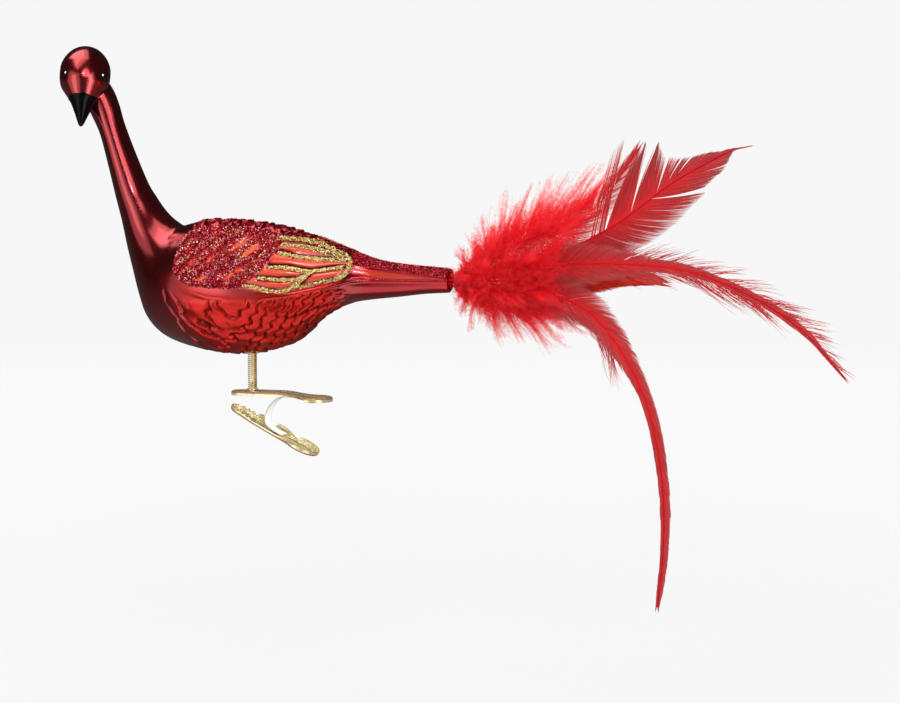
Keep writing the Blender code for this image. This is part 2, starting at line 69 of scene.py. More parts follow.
# ---- camera and studio ----
CAMERA_PLACE = (0.34677, -0.82844, 0.09583)
CAMERA_TARGET = (0.06972, 0.02425, 0.01739)
LENS_MM = 100.0
SENSOR_MM = 36.0
FLOOR_Z = -0.20
FLOOR_RINGS = (0.0, 0.2, 0.5, 1.0, 1.6, 2.2, 3.0)
LIT_POINT = (0.0, 0.0, 0.07)

# Each: name, azimuth, elevation, distance, width, height (0 for a round one), radiance, and
# whether glass mirrors it.
SOFTBOXES = (
    ("softbox_left", -30, -5, 1.10, 1.20, 1.45, 0.50, True),
    ("softbox_left_core", -28, -8, 1.08, 0.40, 1.20, 1.0, True),
    ("softbox_right", 52, -5, 1.10, 0.70, 1.45, 0.65, True),
    ("softbox_right_core", 51, -8, 1.08, 0.30, 1.20, 2.0, True),
    ("softbox_front", 29, 27, 1.10, 0.62, 0.0, 1.5, True),
    ("softbox_front_core", 16, 29, 1.08, 0.09, 0.0, 30.0, True),
    ("softbox_top", -55, 70, 0.80, 1.00, 0.80, 1.1, True),
    ("softbox_top_core", -62, 66, 0.78, 0.70, 0.50, 0.9, True),
    ("softbox_low", 14, -60, 0.60, 0.90, 0.40, 0.9, True),
    ("softbox_back_left", 238, 5, 1.30, 0.45, 0.90, 2.2, False),
    ("softbox_back_right", 140, 5, 1.30, 0.45, 0.90, 2.2, False),
)

# ---- glass: stations from the tail's mouth to the head ----
# Each: lower x, z; upper x, z; half width; how many rings there are up to the next station.
STATIONS_MM = (
    (77.4, 40.2, 78.0, 48.6, 4.0, 12),
    (68.5, 39.6, 69.5, 49.2, 4.6, 12),
    (59.0, 38.4, 60.2, 49.9, 5.6, 14),
    (50.0, 37.4, 51.6, 51.2, 6.8, 14),
    (42.5, 36.2, 44.6, 53.4, 8.6, 16),
    (36.0, 34.2, 38.2, 55.4, 10.8, 20),
    (29.0, 30.0, 31.0, 57.8, 13.6, 24),
    (22.0, 23.4, 23.2, 60.6, 16.6, 32),
    (12.0, 19.0, 12.2, 63.2, 19.2, 38),
    (0.5, 17.3, 2.2, 64.4, 20.4, 38),
    (-11.5, 17.7, -7.0, 64.8, 20.2, 32),
    (-22.0, 19.6, -14.5, 64.6, 18.8, 24),
    (-30.4, 23.0, -19.8, 63.4, 16.6, 18),
    (-36.2, 28.6, -23.6, 62.6, 14.2, 12),
    (-39.6, 36.6, -26.4, 64.0, 12.0, 8),
    (-42.2, 45.4, -29.2, 66.2, 10.2, 8),
    (-44.7, 54.4, -32.0, 69.2, 8.8, 8),
    (-46.9, 63.6, -35.0, 73.4, 7.6, 8),
    (-49.6, 73.2, -37.9, 78.0, 6.6, 8),
    (-52.6, 84.8, -42.7, 88.8, 5.8, 8),
    (-55.6, 95.2, -46.8, 99.2, 5.2, 8),
    (-58.8, 101.8, -48.8, 106.0, 5.2, 6),
    (-61.4, 107.0, -51.2, 111.6, 5.2, 6),
    (-62.6, 112.8, -55.0, 117.0, 4.0, 1),
)
GLASS_SEGMENTS = 256
# The rolled lip of the tail's mouth, which runs on into the pipe: inset and depth.
LIP_MM = ((0.10, -0.05), (0.35, -0.28), (0.75, -0.28), (1.0, -0.05), (1.1, 1.0), (1.2, 6.0))

# The wing's outline on the body's side, x and z.
WING_MM = (
    (-14.3, 61.7), (-16.6, 59.3), (-18.2, 55.8), (-18.9, 51.6), (-19.3, 47.4), (-16.7, 44.4),
    (-12.4, 42.5), (-6.4, 42.0), (0.1, 41.6), (6.7, 42.0), (12.1, 41.0), (18.2, 40.0),
    (23.3, 40.4), (30.4, 42.1), (38.6, 44.2), (43.4, 47.0), (45.2, 50.7), (41.4, 54.2),
    (33.9, 57.0), (27.3, 58.9), (17.6, 60.0), (9.6, 61.4), (1.6, 62.7), (-7.8, 62.8),
)
# The lines of gold glitter that divide the wing's flight feathers.
GOLD_MM = (
    ((18.0, 58.9), (23.2, 58.5), (27.7, 58.0), (33.7, 56.1), (38.9, 53.7)),
    ((19.6, 56.6), (24.3, 56.2), (29.0, 55.5), (34.2, 54.1), (40.9, 52.0)),
    ((19.1, 53.9), (25.4, 52.6), (30.1, 52.0), (35.0, 51.5), (42.2, 51.3)),
    ((16.8, 49.0), (23.3, 48.8), (27.1, 48.0), (30.7, 47.5), (35.9, 48.2), (41.4, 48.9)),
    ((13.3, 45.2), (20.2, 44.7), (26.2, 44.9), (30.7, 47.3)),
    ((8.1, 42.9), (13.1, 41.9), (16.3, 41.1), (21.3, 40.7), (24.3, 41.7), (30.7, 43.1),
     (39.6, 45.2), (42.5, 47.3)),
    ((24.3, 41.9), (27.6, 44.2), (30.7, 47.2)),
    ((38.9, 53.7), (41.3, 52.9), (43.4, 50.9), (43.3, 48.7), (41.9, 46.6)),
)
# Leaf-shaped places on the shoulder that the glitter missed: x, z, half length, half width, angle.
BARE_MM = (
    (-5.9, 61.6, 1.5, 0.9, 30), (5.1, 56.3, 4.2, 1.0, 37), (9.6, 54.3, 3.8, 1.0, 42),
    (-10.9, 50.4, 3.0, 0.6, 38), (-4.1, 51.6, 3.2, 0.6, 38), (2.8, 45.6, 2.5, 0.9, 32),
    (-6.7, 45.0, 2.4, 0.7, 27), (6.5, 47.9, 1.5, 0.9, 30), (-13.5, 54.0, 1.6, 0.5, 40),
)
# Strings of gold specks along the shoulder's small feathers.
SPECK_MM = (
    ((-14.5, 56.4), (-10.9, 57.4)), ((-8.3, 51.4), (-5.4, 53.6)),
    ((-3.0, 50.4), (1.2, 53.5), (5.4, 57.1), (7.0, 58.6)),
    ((-13.5, 46.7), (-8.8, 48.1), (-6.2, 49.4)),
    ((7.5, 53.0), (9.6, 56.1), (12.2, 57.4)), ((-1.4, 59.9), (1.7, 61.2), (5.1, 60.3)),
    ((11.7, 51.0), (13.8, 53.0), (15.1, 55.1)), ((0.1, 47.9), (5.4, 51.5), (8.0, 53.0)),
    ((-9.4, 44.3), (-5.0, 45.5)), ((5.0, 44.0), (9.0, 46.5), (12.5, 49.5)),
    ((-16.8, 50.0), (-12.0, 52.6)), ((-6.0, 56.0), (-1.0, 58.5)),
)
SHOULDER_TRIES = 17000
TOP_TRIES = 9000
GOLD_AMONG_RED = 0.035
SPECKS_PER_MM = 4.5
BEADS_PER_MM = 34
# The border between the wing's glittered shoulder and its bare flight feathers.
SHOULDER_MM = ((19.0, 61.5), (18.0, 58.5), (18.5, 55.0), (16.5, 51.0), (13.0, 46.5), (7.0, 42.0))
RIDGE_MM = (
    (-22.0, 44.5), (-14.5, 40.5), (-6.5, 38.6), (2.9, 37.7), (13.7, 38.4), (23.9, 39.7),
    (33.5, 41.7), (43.6, 44.5), (56.0, 45.5), (80.0, 45.4),
)

# ---- head, turned about the axis from its crown to the beak's tip: radius, height ----
HEAD_CENTRE_MM = (-60.3, -3.0, 117.6)
BEAK_TILT = radians(25)
BEAK_SIDE = radians(1.6)
HEAD_TURN = radians(18)
HEAD_PROFILE_MM = (
    (0.0, 9.6), (2.9, 9.1), (5.5, 7.6), (7.6, 5.1), (8.8, 2.4), (9.1, 0.0), (9.0, -3.2),
    (8.4, -5.9), (7.3, -7.7), (6.0, -9.6), (4.4, -12.0), (3.4, -14.2), (2.4, -16.6),
    (1.5, -19.0), (0.8, -20.8), (0.0, -21.6),
)
FACE_AZIMUTH = radians(6.3)
EYE_AZIMUTH = radians(47.5)
EYE_HEIGHT_MM = -3.5
PAINT_TOP_MM = -10.7
PAINT_END_MM = -21.55
PAINT_TIP_MM = -21.72
AXIS_GAP_MM = 0.02

# ---- clip and stem ----
STEM_X = 0.0030
UPPER_NOSE = (-0.0050, 0.0, 0.0036)
LOWER_NOSE = (-0.0055, 0.0, -0.0029)
LOWER_PITCH = radians(27.3)
LEAF_PATH_MM = (
    (19.0, 1.80), (16.0, 1.95), (13.4, 1.20), (11.2, -0.70), (9.6, -3.10), (8.8, -5.60),
    (9.1, -8.00), (11.4, -10.10), (15.0, -11.95),
)
LEAF_HALF_MM = 0.12
LEVER_SHEET_MM = 0.5
LEVER_BEND_MM = 0.9
# Depths of the levers' rims along x, on the side near the camera and on the far side.
UPPER_TEETH_MM = (
    (0, 1.7), (7.2, 1.7), (7.5, 1.0), (8.6, 0.9), (8.9, 2.0), (9.7, 2.1), (10.0, 1.0),
    (11.2, 1.0), (11.6, 1.8),
)
UPPER_NEAR_MM = (*UPPER_TEETH_MM, (17.6, 1.7), (20.0, 0.95), (29.5, 0.95), (32.0, 1.8), (40, 1.8))
UPPER_FAR_MM = (
    *UPPER_TEETH_MM, (18.5, 1.8), (19.0, 2.6), (24.2, 2.5), (24.6, 1.0),
    (26.8, 1.0), (27.3, 2.2), (28.8, 2.2), (29.3, 1.0), (31.0, 1.0), (32.0, 1.8), (40, 1.8),
)
LOWER_FAR_MM = (
    (0, 1.7), (2.0, 1.7), (2.3, 1.3), (3.2, 1.9), (4.2, 1.2), (5.2, 1.9), (6.2, 1.2),
    (7.2, 1.9), (8.2, 1.2), (9.2, 1.8), (10.0, 1.2), (10.5, 1.2), (22.5, 1.2), (23.2, 1.3),
    (24.0, 2.2), (25.6, 2.3), (26.6, 1.1), (28.0, 1.2), (30.0, 1.8), (40, 1.8),
)
LOWER_NEAR_MM = (
    (0, 1.7), (2.0, 1.7), (2.3, 1.3), (3.2, 2.1), (4.2, 1.3), (5.2, 2.1), (6.2, 1.3),
    (7.2, 2.1), (8.2, 1.2), (9.0, 1.2), (9.4, 2.4), (14.0, 2.4), (14.4, 0.95), (17.0, 0.95),
    (17.4, 2.6), (22.2, 2.6), (22.5, 0.95), (26.4, 0.95), (27.0, 1.9), (40, 1.9),
)
# Bars pressed into both levers' floors: x from and to, half width, y, height.
PRESSED_MM = (
    *((x, x, 0.8, y, -0.35) for x in (2.6, 4.4, 6.2) for y in (-2.0, 0.0, 2.0)),
    (13.0, 21.0, 1.4, 0.0, -0.25),
)

# ---- tail ----
TAIL_MOUTH_MM = (77.7, 0.0, 44.4)
BUNDLE_END_MM = 83.4


# ======== numbers ========


def smooth_rows(rows, steps):
    """A Catmull-Rom curve through rows of numbers; steps is one number or one per interval."""
    rows = np.array(rows, float)
    if np.isscalar(steps):
        steps = [steps] * (len(rows) - 1)
    padded = np.vstack([2 * rows[0] - rows[1], rows, 2 * rows[-1] - rows[-2]])
    found = []
    for k, count in enumerate(steps):
        a, b, c, d = padded[k : k + 4]
        for t in np.arange(count) / count:
            cubic = (3 * b - a - 3 * c + d) * t**3
            found.append((2 * b + (c - a) * t + (2 * a - 5 * b + 4 * c - d) * t**2 + cubic) / 2)
    return np.array([*found, rows[-1]])


def unit(vectors):
    return vectors / np.maximum(np.linalg.norm(vectors, axis=-1, keepdims=True), 1e-12)


def smoothstep(low, high, value):
    t = np.clip((value - low) / (high - low), 0, 1)
    return t * t * (3 - 2 * t)


def wobble(points, size, seed, octaves=5):
    """A smooth random field, about -1 to 1, whose features are about as large as size."""
    rng = np.random.default_rng(seed)
    total = 0
    for _ in range(octaves):
        direction = unit(rng.normal(size=points.shape[-1]))
        pitch = tau / size * rng.uniform(0.6, 1.3)
        total = total + np.sin(points @ direction * pitch + rng.uniform(0, tau))
    return total / octaves * 1.3


def line_distance(points, line):
    """Distance of 2-D points from a polyline."""
    line = np.array(line, float)
    best = np.full(len(points), 1e9)
    for a, b in zip(line, line[1:]):
        run = b - a
        t = np.clip((points - a) @ run / (run @ run), 0, 1)
        best = np.minimum(best, np.linalg.norm(points - a - t[:, None] * run, axis=1))
    return best


def inside(points, outline):
    """Whether 2-D points are in a closed outline."""
    found = np.zeros(len(points), bool)
    x, y = points.T
    for (ax, ay), (bx, by) in zip(outline, [*outline[1:], outline[0]]):
        crosses = (ay > y) != (by > y)
        if ay != by:
            found ^= crosses & (x < (bx - ax) * (y - ay) / (by - ay) + ax)
    return found


def signed_distance(points, outline):
    distance = line_distance(points, [*outline, outline[0]])
    return np.where(inside(points, outline), distance, -distance)


def shoulder_border(z):
    """Where the glittered shoulder ends, along x."""
    places, heights = zip(*SHOULDER_MM[::-1])
    return np.interp(z, heights, places)


def path_shares(path):
    """How far along a path each of its points is, from 0 to 1, and the path's length."""
    steps = np.concatenate([[0], np.cumsum(np.linalg.norm(np.diff(path, axis=0), axis=1))])
    return steps / steps[-1], steps[-1]


def on_path(place, share, rows):
    """Rows that go with a path's points, taken at other places along it."""
    return np.stack([np.interp(place, share, rows[:, k]) for k in range(3)], axis=1)


# ======== meshes ========


def new_mesh(name, points, faces, attributes=None):
    """A mesh from points and a list of face arrays, each of one face size."""
    mesh = bpy.data.meshes.new(name)
    faces = [np.asarray(group, np.int32) for group in faces if len(group)]
    corners = np.concatenate([group.ravel() for group in faces])
    sizes = np.concatenate([np.full(len(group), group.shape[1]) for group in faces])
    mesh.vertices.add(len(points))
    mesh.vertices.foreach_set("co", np.asarray(points, np.float32).ravel())
    mesh.loops.add(len(corners))
    mesh.loops.foreach_set("vertex_index", corners)
    mesh.polygons.add(len(sizes))
    starts = np.concatenate([[0], np.cumsum(sizes)[:-1]])
    mesh.polygons.foreach_set("loop_start", starts.astype(np.int32))
    mesh.update(calc_edges=True)
    for key, values in (attributes or {}).items():
        made = mesh.attributes.new(key, "FLOAT", "POINT")
        made.data.foreach_set("value", np.asarray(values, np.float32).ravel())
    mesh.shade_smooth()
    return mesh


def new_object(name, data):
    made = bpy.data.objects.new(name, data)
    bpy.context.scene.collection.objects.link(made)
    return made


def add_piece(name, mesh, material, body, replaces=(), sharp=None):
    """A new piece of the ornament that rides on a body."""
    made = new_object(name, mesh)
    mesh.materials.append(material)
    if sharp:
        mesh.set_sharp_from_angle(angle=radians(sharp))
    if body:
        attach(made, body)
    if replaces:
        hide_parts(*replaces)
    return made


def get_points(mesh):
    return np.array([v.co[:] for v in mesh.vertices])


def set_points(mesh, points):
    mesh.vertices.foreach_set("co", points.astype(np.float32).ravel())


def grid_faces(rows, columns):
    """Quads over rows of points, whose columns close into rings."""
    r, c = np.meshgrid(np.arange(rows - 1), np.arange(columns), indexing="ij")
    after = (c + 1) % columns
    quads = [r * columns + c, r * columns + after, (r + 1) * columns + after, (r + 1) * columns + c]
    return np.stack(quads, axis=-1).reshape(-1, 4)


def end_caps(rows, columns):
    """The two polygons that close the ends of a grid of rings."""
    ring = np.arange(columns)
    return np.stack([ring, (rows - 1) * columns + ring[::-1]])


def tubes(paths, wide, thick, normals, sides):
    """Closed tubes of oval section along many paths: points, quads and end caps.

    paths is (tubes, points, 3); wide and thick are half sizes across and along the normals.
    """
    count, length, _ = paths.shape
    along = unit(np.gradient(paths, axis=1))
    across = unit(np.cross(along, normals))
    up = np.cross(across, along)
    angle = tau * np.arange(sides) / sides
    ring = (
        paths[:, :, None]
        + across[:, :, None] * (wide[..., None] * np.cos(angle))[..., None]
        + up[:, :, None] * (thick[..., None] * np.sin(angle))[..., None]
    )
    base = np.arange(count)[:, None, None] * (length * sides)
    groups = (grid_faces(length, sides), end_caps(length, sides))
    faces = [(group[None] + base).reshape(-1, group.shape[1]) for group in groups]
    return ring.reshape(-1, 3), faces


def ring_solid(name, rings):
    """A closed solid through rings of points, top first."""
    rows, columns = rings.shape[:2]
    faces = [grid_faces(rows, columns)[:, ::-1], end_caps(rows, columns)]
    return new_mesh(name, rings.reshape(-1, 3), faces)


def turned_mesh(name, profile, segments):
    """A closed solid of revolution about Z from (radius, height) points, top first."""
    profile = np.array(profile, float)
    angle = tau * np.arange(segments) / segments
    x, y = profile[:, :1] * np.cos(angle), profile[:, :1] * np.sin(angle)
    return ring_solid(name, np.stack([x, y, np.repeat(profile[:, 1:], segments, axis=1)], axis=-1))


def smooth_profile(rows, steps, widest=np.inf):
    """A profile in metres for turned_mesh, which stays just off the axis."""
    profile = smooth_rows(rows, steps)
    profile[:, 0] = np.clip(profile[:, 0], AXIS_GAP_MM, widest)
    return profile * MM


def chips(places, normals, sizes, seed, lean):
    """Small closed glitter crystals: flat four-sided double pyramids lying roughly on a surface."""
    rng = np.random.default_rng(seed)
    count = len(places)
    normal = unit(normals + lean * rng.normal(size=(count, 3)))
    across = unit(np.cross(normal, rng.normal(size=(count, 3))))
    size = sizes[:, None]
    x, z = across * size, normal * size * 0.30
    y = np.cross(normal, across) * size * rng.uniform(0.7, 1.2, size=(count, 1))
    points = np.stack([places + arm for arm in (x, y, -x, -y, z, -z)], axis=1)
    sides = [(k, (k + 1) % 4) for k in range(4)]
    triangles = np.array([side for a, b in sides for side in ((a, b, 4), (b, a, 5))])
    faces = (triangles[None] + 6 * np.arange(count)[:, None, None]).reshape(-1, 3)
    return points.reshape(-1, 3), faces


# ======== materials ========


class Nodes:
    """The node tree of a material or world and short ways to add to it."""

    def __init__(self, owner):
        owner.use_nodes = True
        self.material = owner
        self.tree = owner.node_tree
        self.shader = self.tree.nodes.get("Principled BSDF")

    def put(self, socket, value):
        """Links an output to an input, or sets the input to a value."""
        if isinstance(value, bpy.types.NodeSocket):
            self.tree.links.new(value, socket)
        elif socket.type == "RGBA" and len(value) == 3:
            socket.default_value = (*value, 1.0)
        else:
            socket.default_value = value

    def add(self, kind, inputs=(), **settings):
        node = self.tree.nodes.new("ShaderNode" + kind)
        for key, value in settings.items():
            setattr(node, key, value)
        for key, value in dict(inputs).items():
            self.put(node.inputs[key], value)
        return node

    def set(self, **values):
        for key, value in values.items():
            self.put(self.shader.inputs[key.replace("_", " ")], value)

    def coordinates(self):
        return self.add("TexCoord").outputs["Object"]

    def attribute(self, name):
        return self.add("Attribute", attribute_name=name).outputs["Fac"]

    def noise(self, scale, detail, vector=None):
        vector = vector or self.coordinates()
        values = {"Scale": scale, "Detail": detail, "Roughness": 0.55, "Vector": vector}
        return self.add("TexNoise", values).outputs["Fac"]

    def ramp(self, factor, *stops):
        node = self.add("ValToRGB", {"Fac": factor})
        elements = node.color_ramp.elements
        while len(elements) < len(stops):
            elements.new(0.5)
        for element, (place, colour) in zip(elements, stops):
            element.position = place
            element.color = (*colour, 1.0)
        return node.outputs["Color"]

    def range(self, value, low, high, from_low=0.0, from_high=1.0):
        keys = ("Value", "To Min", "To Max", "From Min", "From Max")
        values = zip(keys, (value, low, high, from_low, from_high))
        return self.add("MapRange", values).outputs["Result"]

    def mix(self, factor, a, b, blend="MIX"):
        """Sockets 6 and 7, and output 2, are the mix node's colours."""
        node = self.add("Mix", {0: factor, 6: a, 7: b}, data_type="RGBA", blend_type=blend)
        return node.outputs[2]

    def maths(self, operation, *values):
        return self.add("Math", enumerate(values), operation=operation).outputs["Value"]

    def bump(self, height, distance, strength, normal=None):
        values = {"Height": height, "Distance": distance, "Strength": strength}
        if normal:
            values["Normal"] = normal
        return self.add("Bump", values).outputs["Normal"]

    def mix_shader(self, factor, first, second):
        return self.add("MixShader", {0: factor, 1: first.outputs[0], 2: second.outputs[0]})


def new_material(name):
    return Nodes(bpy.data.materials.new(name))


def glass_material():
    """Red lacquer over silvered glass; the stripes of the wing are a thinner, more orange coat. The
    same stripe mask also paints a highlight: a lighter, less metallic band on the tail pipe's side.
    """
    n = new_material("red_silvered_glass")
    stripe, rough = n.attribute("stripe"), n.attribute("rough")
    cloud = n.noise(55.0, 3.0)
    red = n.ramp(cloud, (0.3, (0.42, 0.004, 0.012)), (0.7, (0.58, 0.010, 0.018)))
    orange = n.ramp(cloud, (0.3, (0.78, 0.070, 0.030)), (0.7, (0.86, 0.105, 0.045)))
    grain = n.noise(1800.0, 2.0)
    dusty = n.ramp(grain, (0.35, (0.10, 0.002, 0.006)), (0.7, (0.42, 0.010, 0.02)))
    warm = n.mix(n.attribute("warm"), red, (0.66, 0.020, 0.013))
    coloured = n.mix(stripe, warm, orange)
    # painted shade: the colour darkens to near black in the relief's grooves
    groove_shade = n.mix(n.attribute("groove_shade"), coloured, (0.10, 0.001, 0.003))
    smooth = n.range(n.noise(160.0, 5.0), 0.15, 0.25)
    fine = n.bump(n.noise(420.0, 3.0), 0.00003, 0.35)
    n.set(
        Base_Color=n.mix(n.attribute("dust"), groove_shade, dusty),
        Metallic=n.range(stripe, 1.0, 0.35),
        Roughness=n.maths("MULTIPLY_ADD", rough, 0.25, smooth),
        Normal=n.bump(n.noise(60.0, 2.0), 0.0002, 0.25, fine),
        Coat_Weight=n.range(rough, 0.9, 0.1, 0.0, 0.7),
        Coat_Roughness=0.15,
        Coat_IOR=1.8,
    )
    return n.material


def paint_material(name, colour, roughness, gloss=0.5):
    n = new_material(name)
    dark = tuple(c * 0.5 for c in colour)
    n.set(
        Base_Color=n.mix(n.range(n.noise(700.0, 4.0), 0.0, 0.5), colour, dark),
        Roughness=n.range(n.noise(300.0, 4.0), roughness * 0.7, roughness * 1.4),
        Normal=n.bump(n.noise(500.0, 3.0), 0.00005, 0.5),
        Coat_Weight=gloss, Coat_Roughness=0.05, Specular_IOR_Level=gloss,
    )
    return n.material


def glitter_material(name, metallic, *stops):
    """Metal chips, whose colours differ from one to the next."""
    n = new_material(name)
    n.set(
        Base_Color=n.ramp(n.attribute("shade"), *stops),
        Metallic=metallic,
        Roughness=n.range(n.noise(2500.0, 2.0), 0.14, 0.34),
    )
    return n.material


def metal_material(name, bright, dull, edge, scale, metallic):
    """Plated metal, stained in clouds and drawn lengthwise, with its edges in another colour."""
    n = new_material(name)
    stain = n.noise(scale, 5.0)
    plain = n.ramp(stain, (0.35, dull), (0.62, bright))
    stretched = n.add("Mapping", {"Vector": n.coordinates(), "Scale": (0.15, 1.0, 1.0)})
    drawn = n.noise(4500.0, 2.0, stretched.outputs["Vector"])
    n.set(
        Base_Color=n.mix(n.attribute("edge"), plain, edge),
        Metallic=metallic,
        Roughness=n.range(n.noise(scale * 3, 4.0), 0.14, 0.32),
        Normal=n.bump(drawn, 0.00001, 0.25, n.bump(stain, 0.00005, 0.2)),
    )
    return n.material


def fibre_material(name, root, middle, tip, see_through=0.35, passing=0.25):
    """Dyed barbs: colour from root to tip, with each barb a little different."""
    n = new_material(name)
    white = (1.0, 1.0, 1.0)
    lengthwise = n.ramp(n.attribute("along"), (0.0, root), (0.55, middle), (1.0, tip))
    varied = n.ramp(n.attribute("shade"), (0.0, (0.86, 0.70, 0.70)), (1.0, white))
    tinted = n.mix(1.0, lengthwise, varied, "MULTIPLY")
    speckle = n.ramp(n.noise(900.0, 3.0), (0.3, (0.92, 0.82, 0.82)), (0.7, white))
    n.set(
        Base_Color=n.mix(1.0, tinted, speckle, "MULTIPLY"),
        Roughness=n.range(n.noise(1500.0, 2.0), 0.5, 0.8),
        Specular_IOR_Level=0.08,
    )
    both = n.mix_shader(see_through, n.shader, n.add("BsdfTranslucent", {"Color": tinted}))
    # light that has already been scattered passes between the fine fibres
    rays = n.add("LightPath").outputs
    scattered = n.maths("MAXIMUM", rays["Is Shadow Ray"], rays["Is Diffuse Ray"])
    share = n.maths("MULTIPLY", scattered, passing)
    airy = n.mix_shader(share, both, n.add("BsdfTransparent"))
    n.put(n.tree.nodes["Material Output"].inputs["Surface"], airy.outputs[0])
    return n.material


# ======== studio ========


def softbox(name, azimuth, elevation, distance, width, height, radiance, mirrored):
    """A soft panel that faces the ornament; azimuth 0 is the -Y side and 90 the +X side."""
    light = bpy.data.lights.new(name, "AREA")
    light.shape = "RECTANGLE" if height else "DISK"
    light.size = width
    light.size_y = height or width
    light.energy = radiance * pi * width * (height or width * pi / 4)
    made = new_object(name, light)
    around, up = radians(azimuth), radians(elevation)
    back = Vector((sin(around) * cos(up), -cos(around) * cos(up), sin(up)))
    made.location = Vector(LIT_POINT) + back * distance
    made.rotation_euler = back.to_track_quat("Z", "Y").to_euler()
    made.visible_camera = False
    made.visible_glossy = mirrored


def make_camera():
    data = bpy.data.cameras.new("camera")
    data.lens = LENS_MM
    data.sensor_width = SENSOR_MM
    camera = new_object("camera", data)
    camera.location = CAMERA_PLACE
    look = Vector(CAMERA_TARGET) - Vector(CAMERA_PLACE)
    camera.rotation_euler = look.to_track_quat("-Z", "Y").to_euler()
    bpy.context.scene.camera = camera
    bpy.context.scene.view_settings.view_transform = "Standard"


def make_world():
    """Pale to the camera, dark in reflections and a soft white light for everything else."""
    world = bpy.data.worlds.new("studio")
    bpy.context.scene.world = world
    n = Nodes(world)
    n.tree.nodes.clear()
    rays = n.add("LightPath").outputs
    heading = n.add("SeparateXYZ", {0: n.add("TexCoord").outputs["Generated"]}).outputs["Z"]
    soft = n.add("Background", {"Color": (1.0, 0.98, 0.97), "Strength": 1.40})
    dark = n.add("Background", {"Strength": n.range(heading, 0.20, 0.015, -0.8, 0.1)})
    pale = n.add("Background", {"Color": (0.93, 0.93, 0.93), "Strength": 1.0})
    unseen = n.mix_shader(rays["Is Glossy Ray"], soft, dark)
    seen = n.mix_shader(rays["Is Camera Ray"], unseen, pale)
    n.add("OutputWorld", {"Surface": seen.outputs[0]})


def make_floor():
    """A pale round floor that fades out towards its rim."""
    segments = 96
    angle = tau * np.arange(segments) / segments
    points = [(r * cos(a), r * sin(a), FLOOR_Z) for r in FLOOR_RINGS for a in angle]
    mesh = new_mesh("floor", np.array(points), [grid_faces(len(FLOOR_RINGS), segments)])
    n = new_material("pale_floor")
    distance = n.add("VectorMath", {0: n.coordinates()}, operation="LENGTH").outputs["Value"]
    n.set(
        Base_Color=n.ramp(n.noise(3.0, 3.0), (0.3, (0.075,) * 3), (0.7, (0.080,) * 3)),
        Roughness=0.9, Emission_Color=(1, 1, 1), Emission_Strength=0.79,
        Alpha=n.range(distance, 1.0, 0.0, 0.7, FLOOR_RINGS[-1] - 0.2),
    )
    mesh.materials.append(n.material)
    floor = new_object("floor", mesh)
    floor.visible_glossy = False
    floor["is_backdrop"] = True


# ======== glass bird ========


def scales(along, around, length, width, seed):
    """Relief of overlapping scales: each rises towards its rounded trailing edge."""
    rng = np.random.default_rng(seed)
    row = np.floor(around / width)
    shift = rng.uniform(-0.2, 0.2, 400)[(row.astype(int) + 150) % 400]
    v = around / width - row - 0.5
    u = along / length + 0.5 * (row % 2) + shift + 1.1 * v * v
    f = u - np.floor(u)
    rise = f**0.8 * (1 - smoothstep(0.84, 1.0, f))
    return rise * (1 - 0.55 * smoothstep(0.30, 0.5, np.abs(v)))


def waves(x, around, bend):
    """Relief of long wavy feather rows that sweep back over the belly, parted by narrow grooves."""
    slant = 1.5 * smoothstep(-16, 8, x) - 0.65
    drift = (x - slant * around**2 / (around + 5) + 0.5 * bend) / 4.6
    drift = drift + 0.15 * np.sin(tau * (around / 5.2 + x / 9.2))
    phase = drift + 0.05 * np.sin(tau * around / 2.9)
    f = phase - np.floor(phase)
    rise = smoothstep(0.0, 0.20, f) * (1 - smoothstep(0.86, 1.0, f)) * (0.70 + 0.30 * f)
    lump = np.sin(tau * around / 5.2 + 1.7 * np.floor(phase))
    return rise * (0.84 + 0.16 * lump)


def leaf_reach(points, leaf):
    """Distance from the middle of a leaf shape, in units of its own size: 1 is its edge."""
    x, z, long, wide, angle = leaf
    run = np.array([cos(radians(angle)), sin(radians(angle))])
    off = points - (x, z)
    return np.hypot(off @ run / long, off @ np.array([-run[1], run[0]]) / wide)


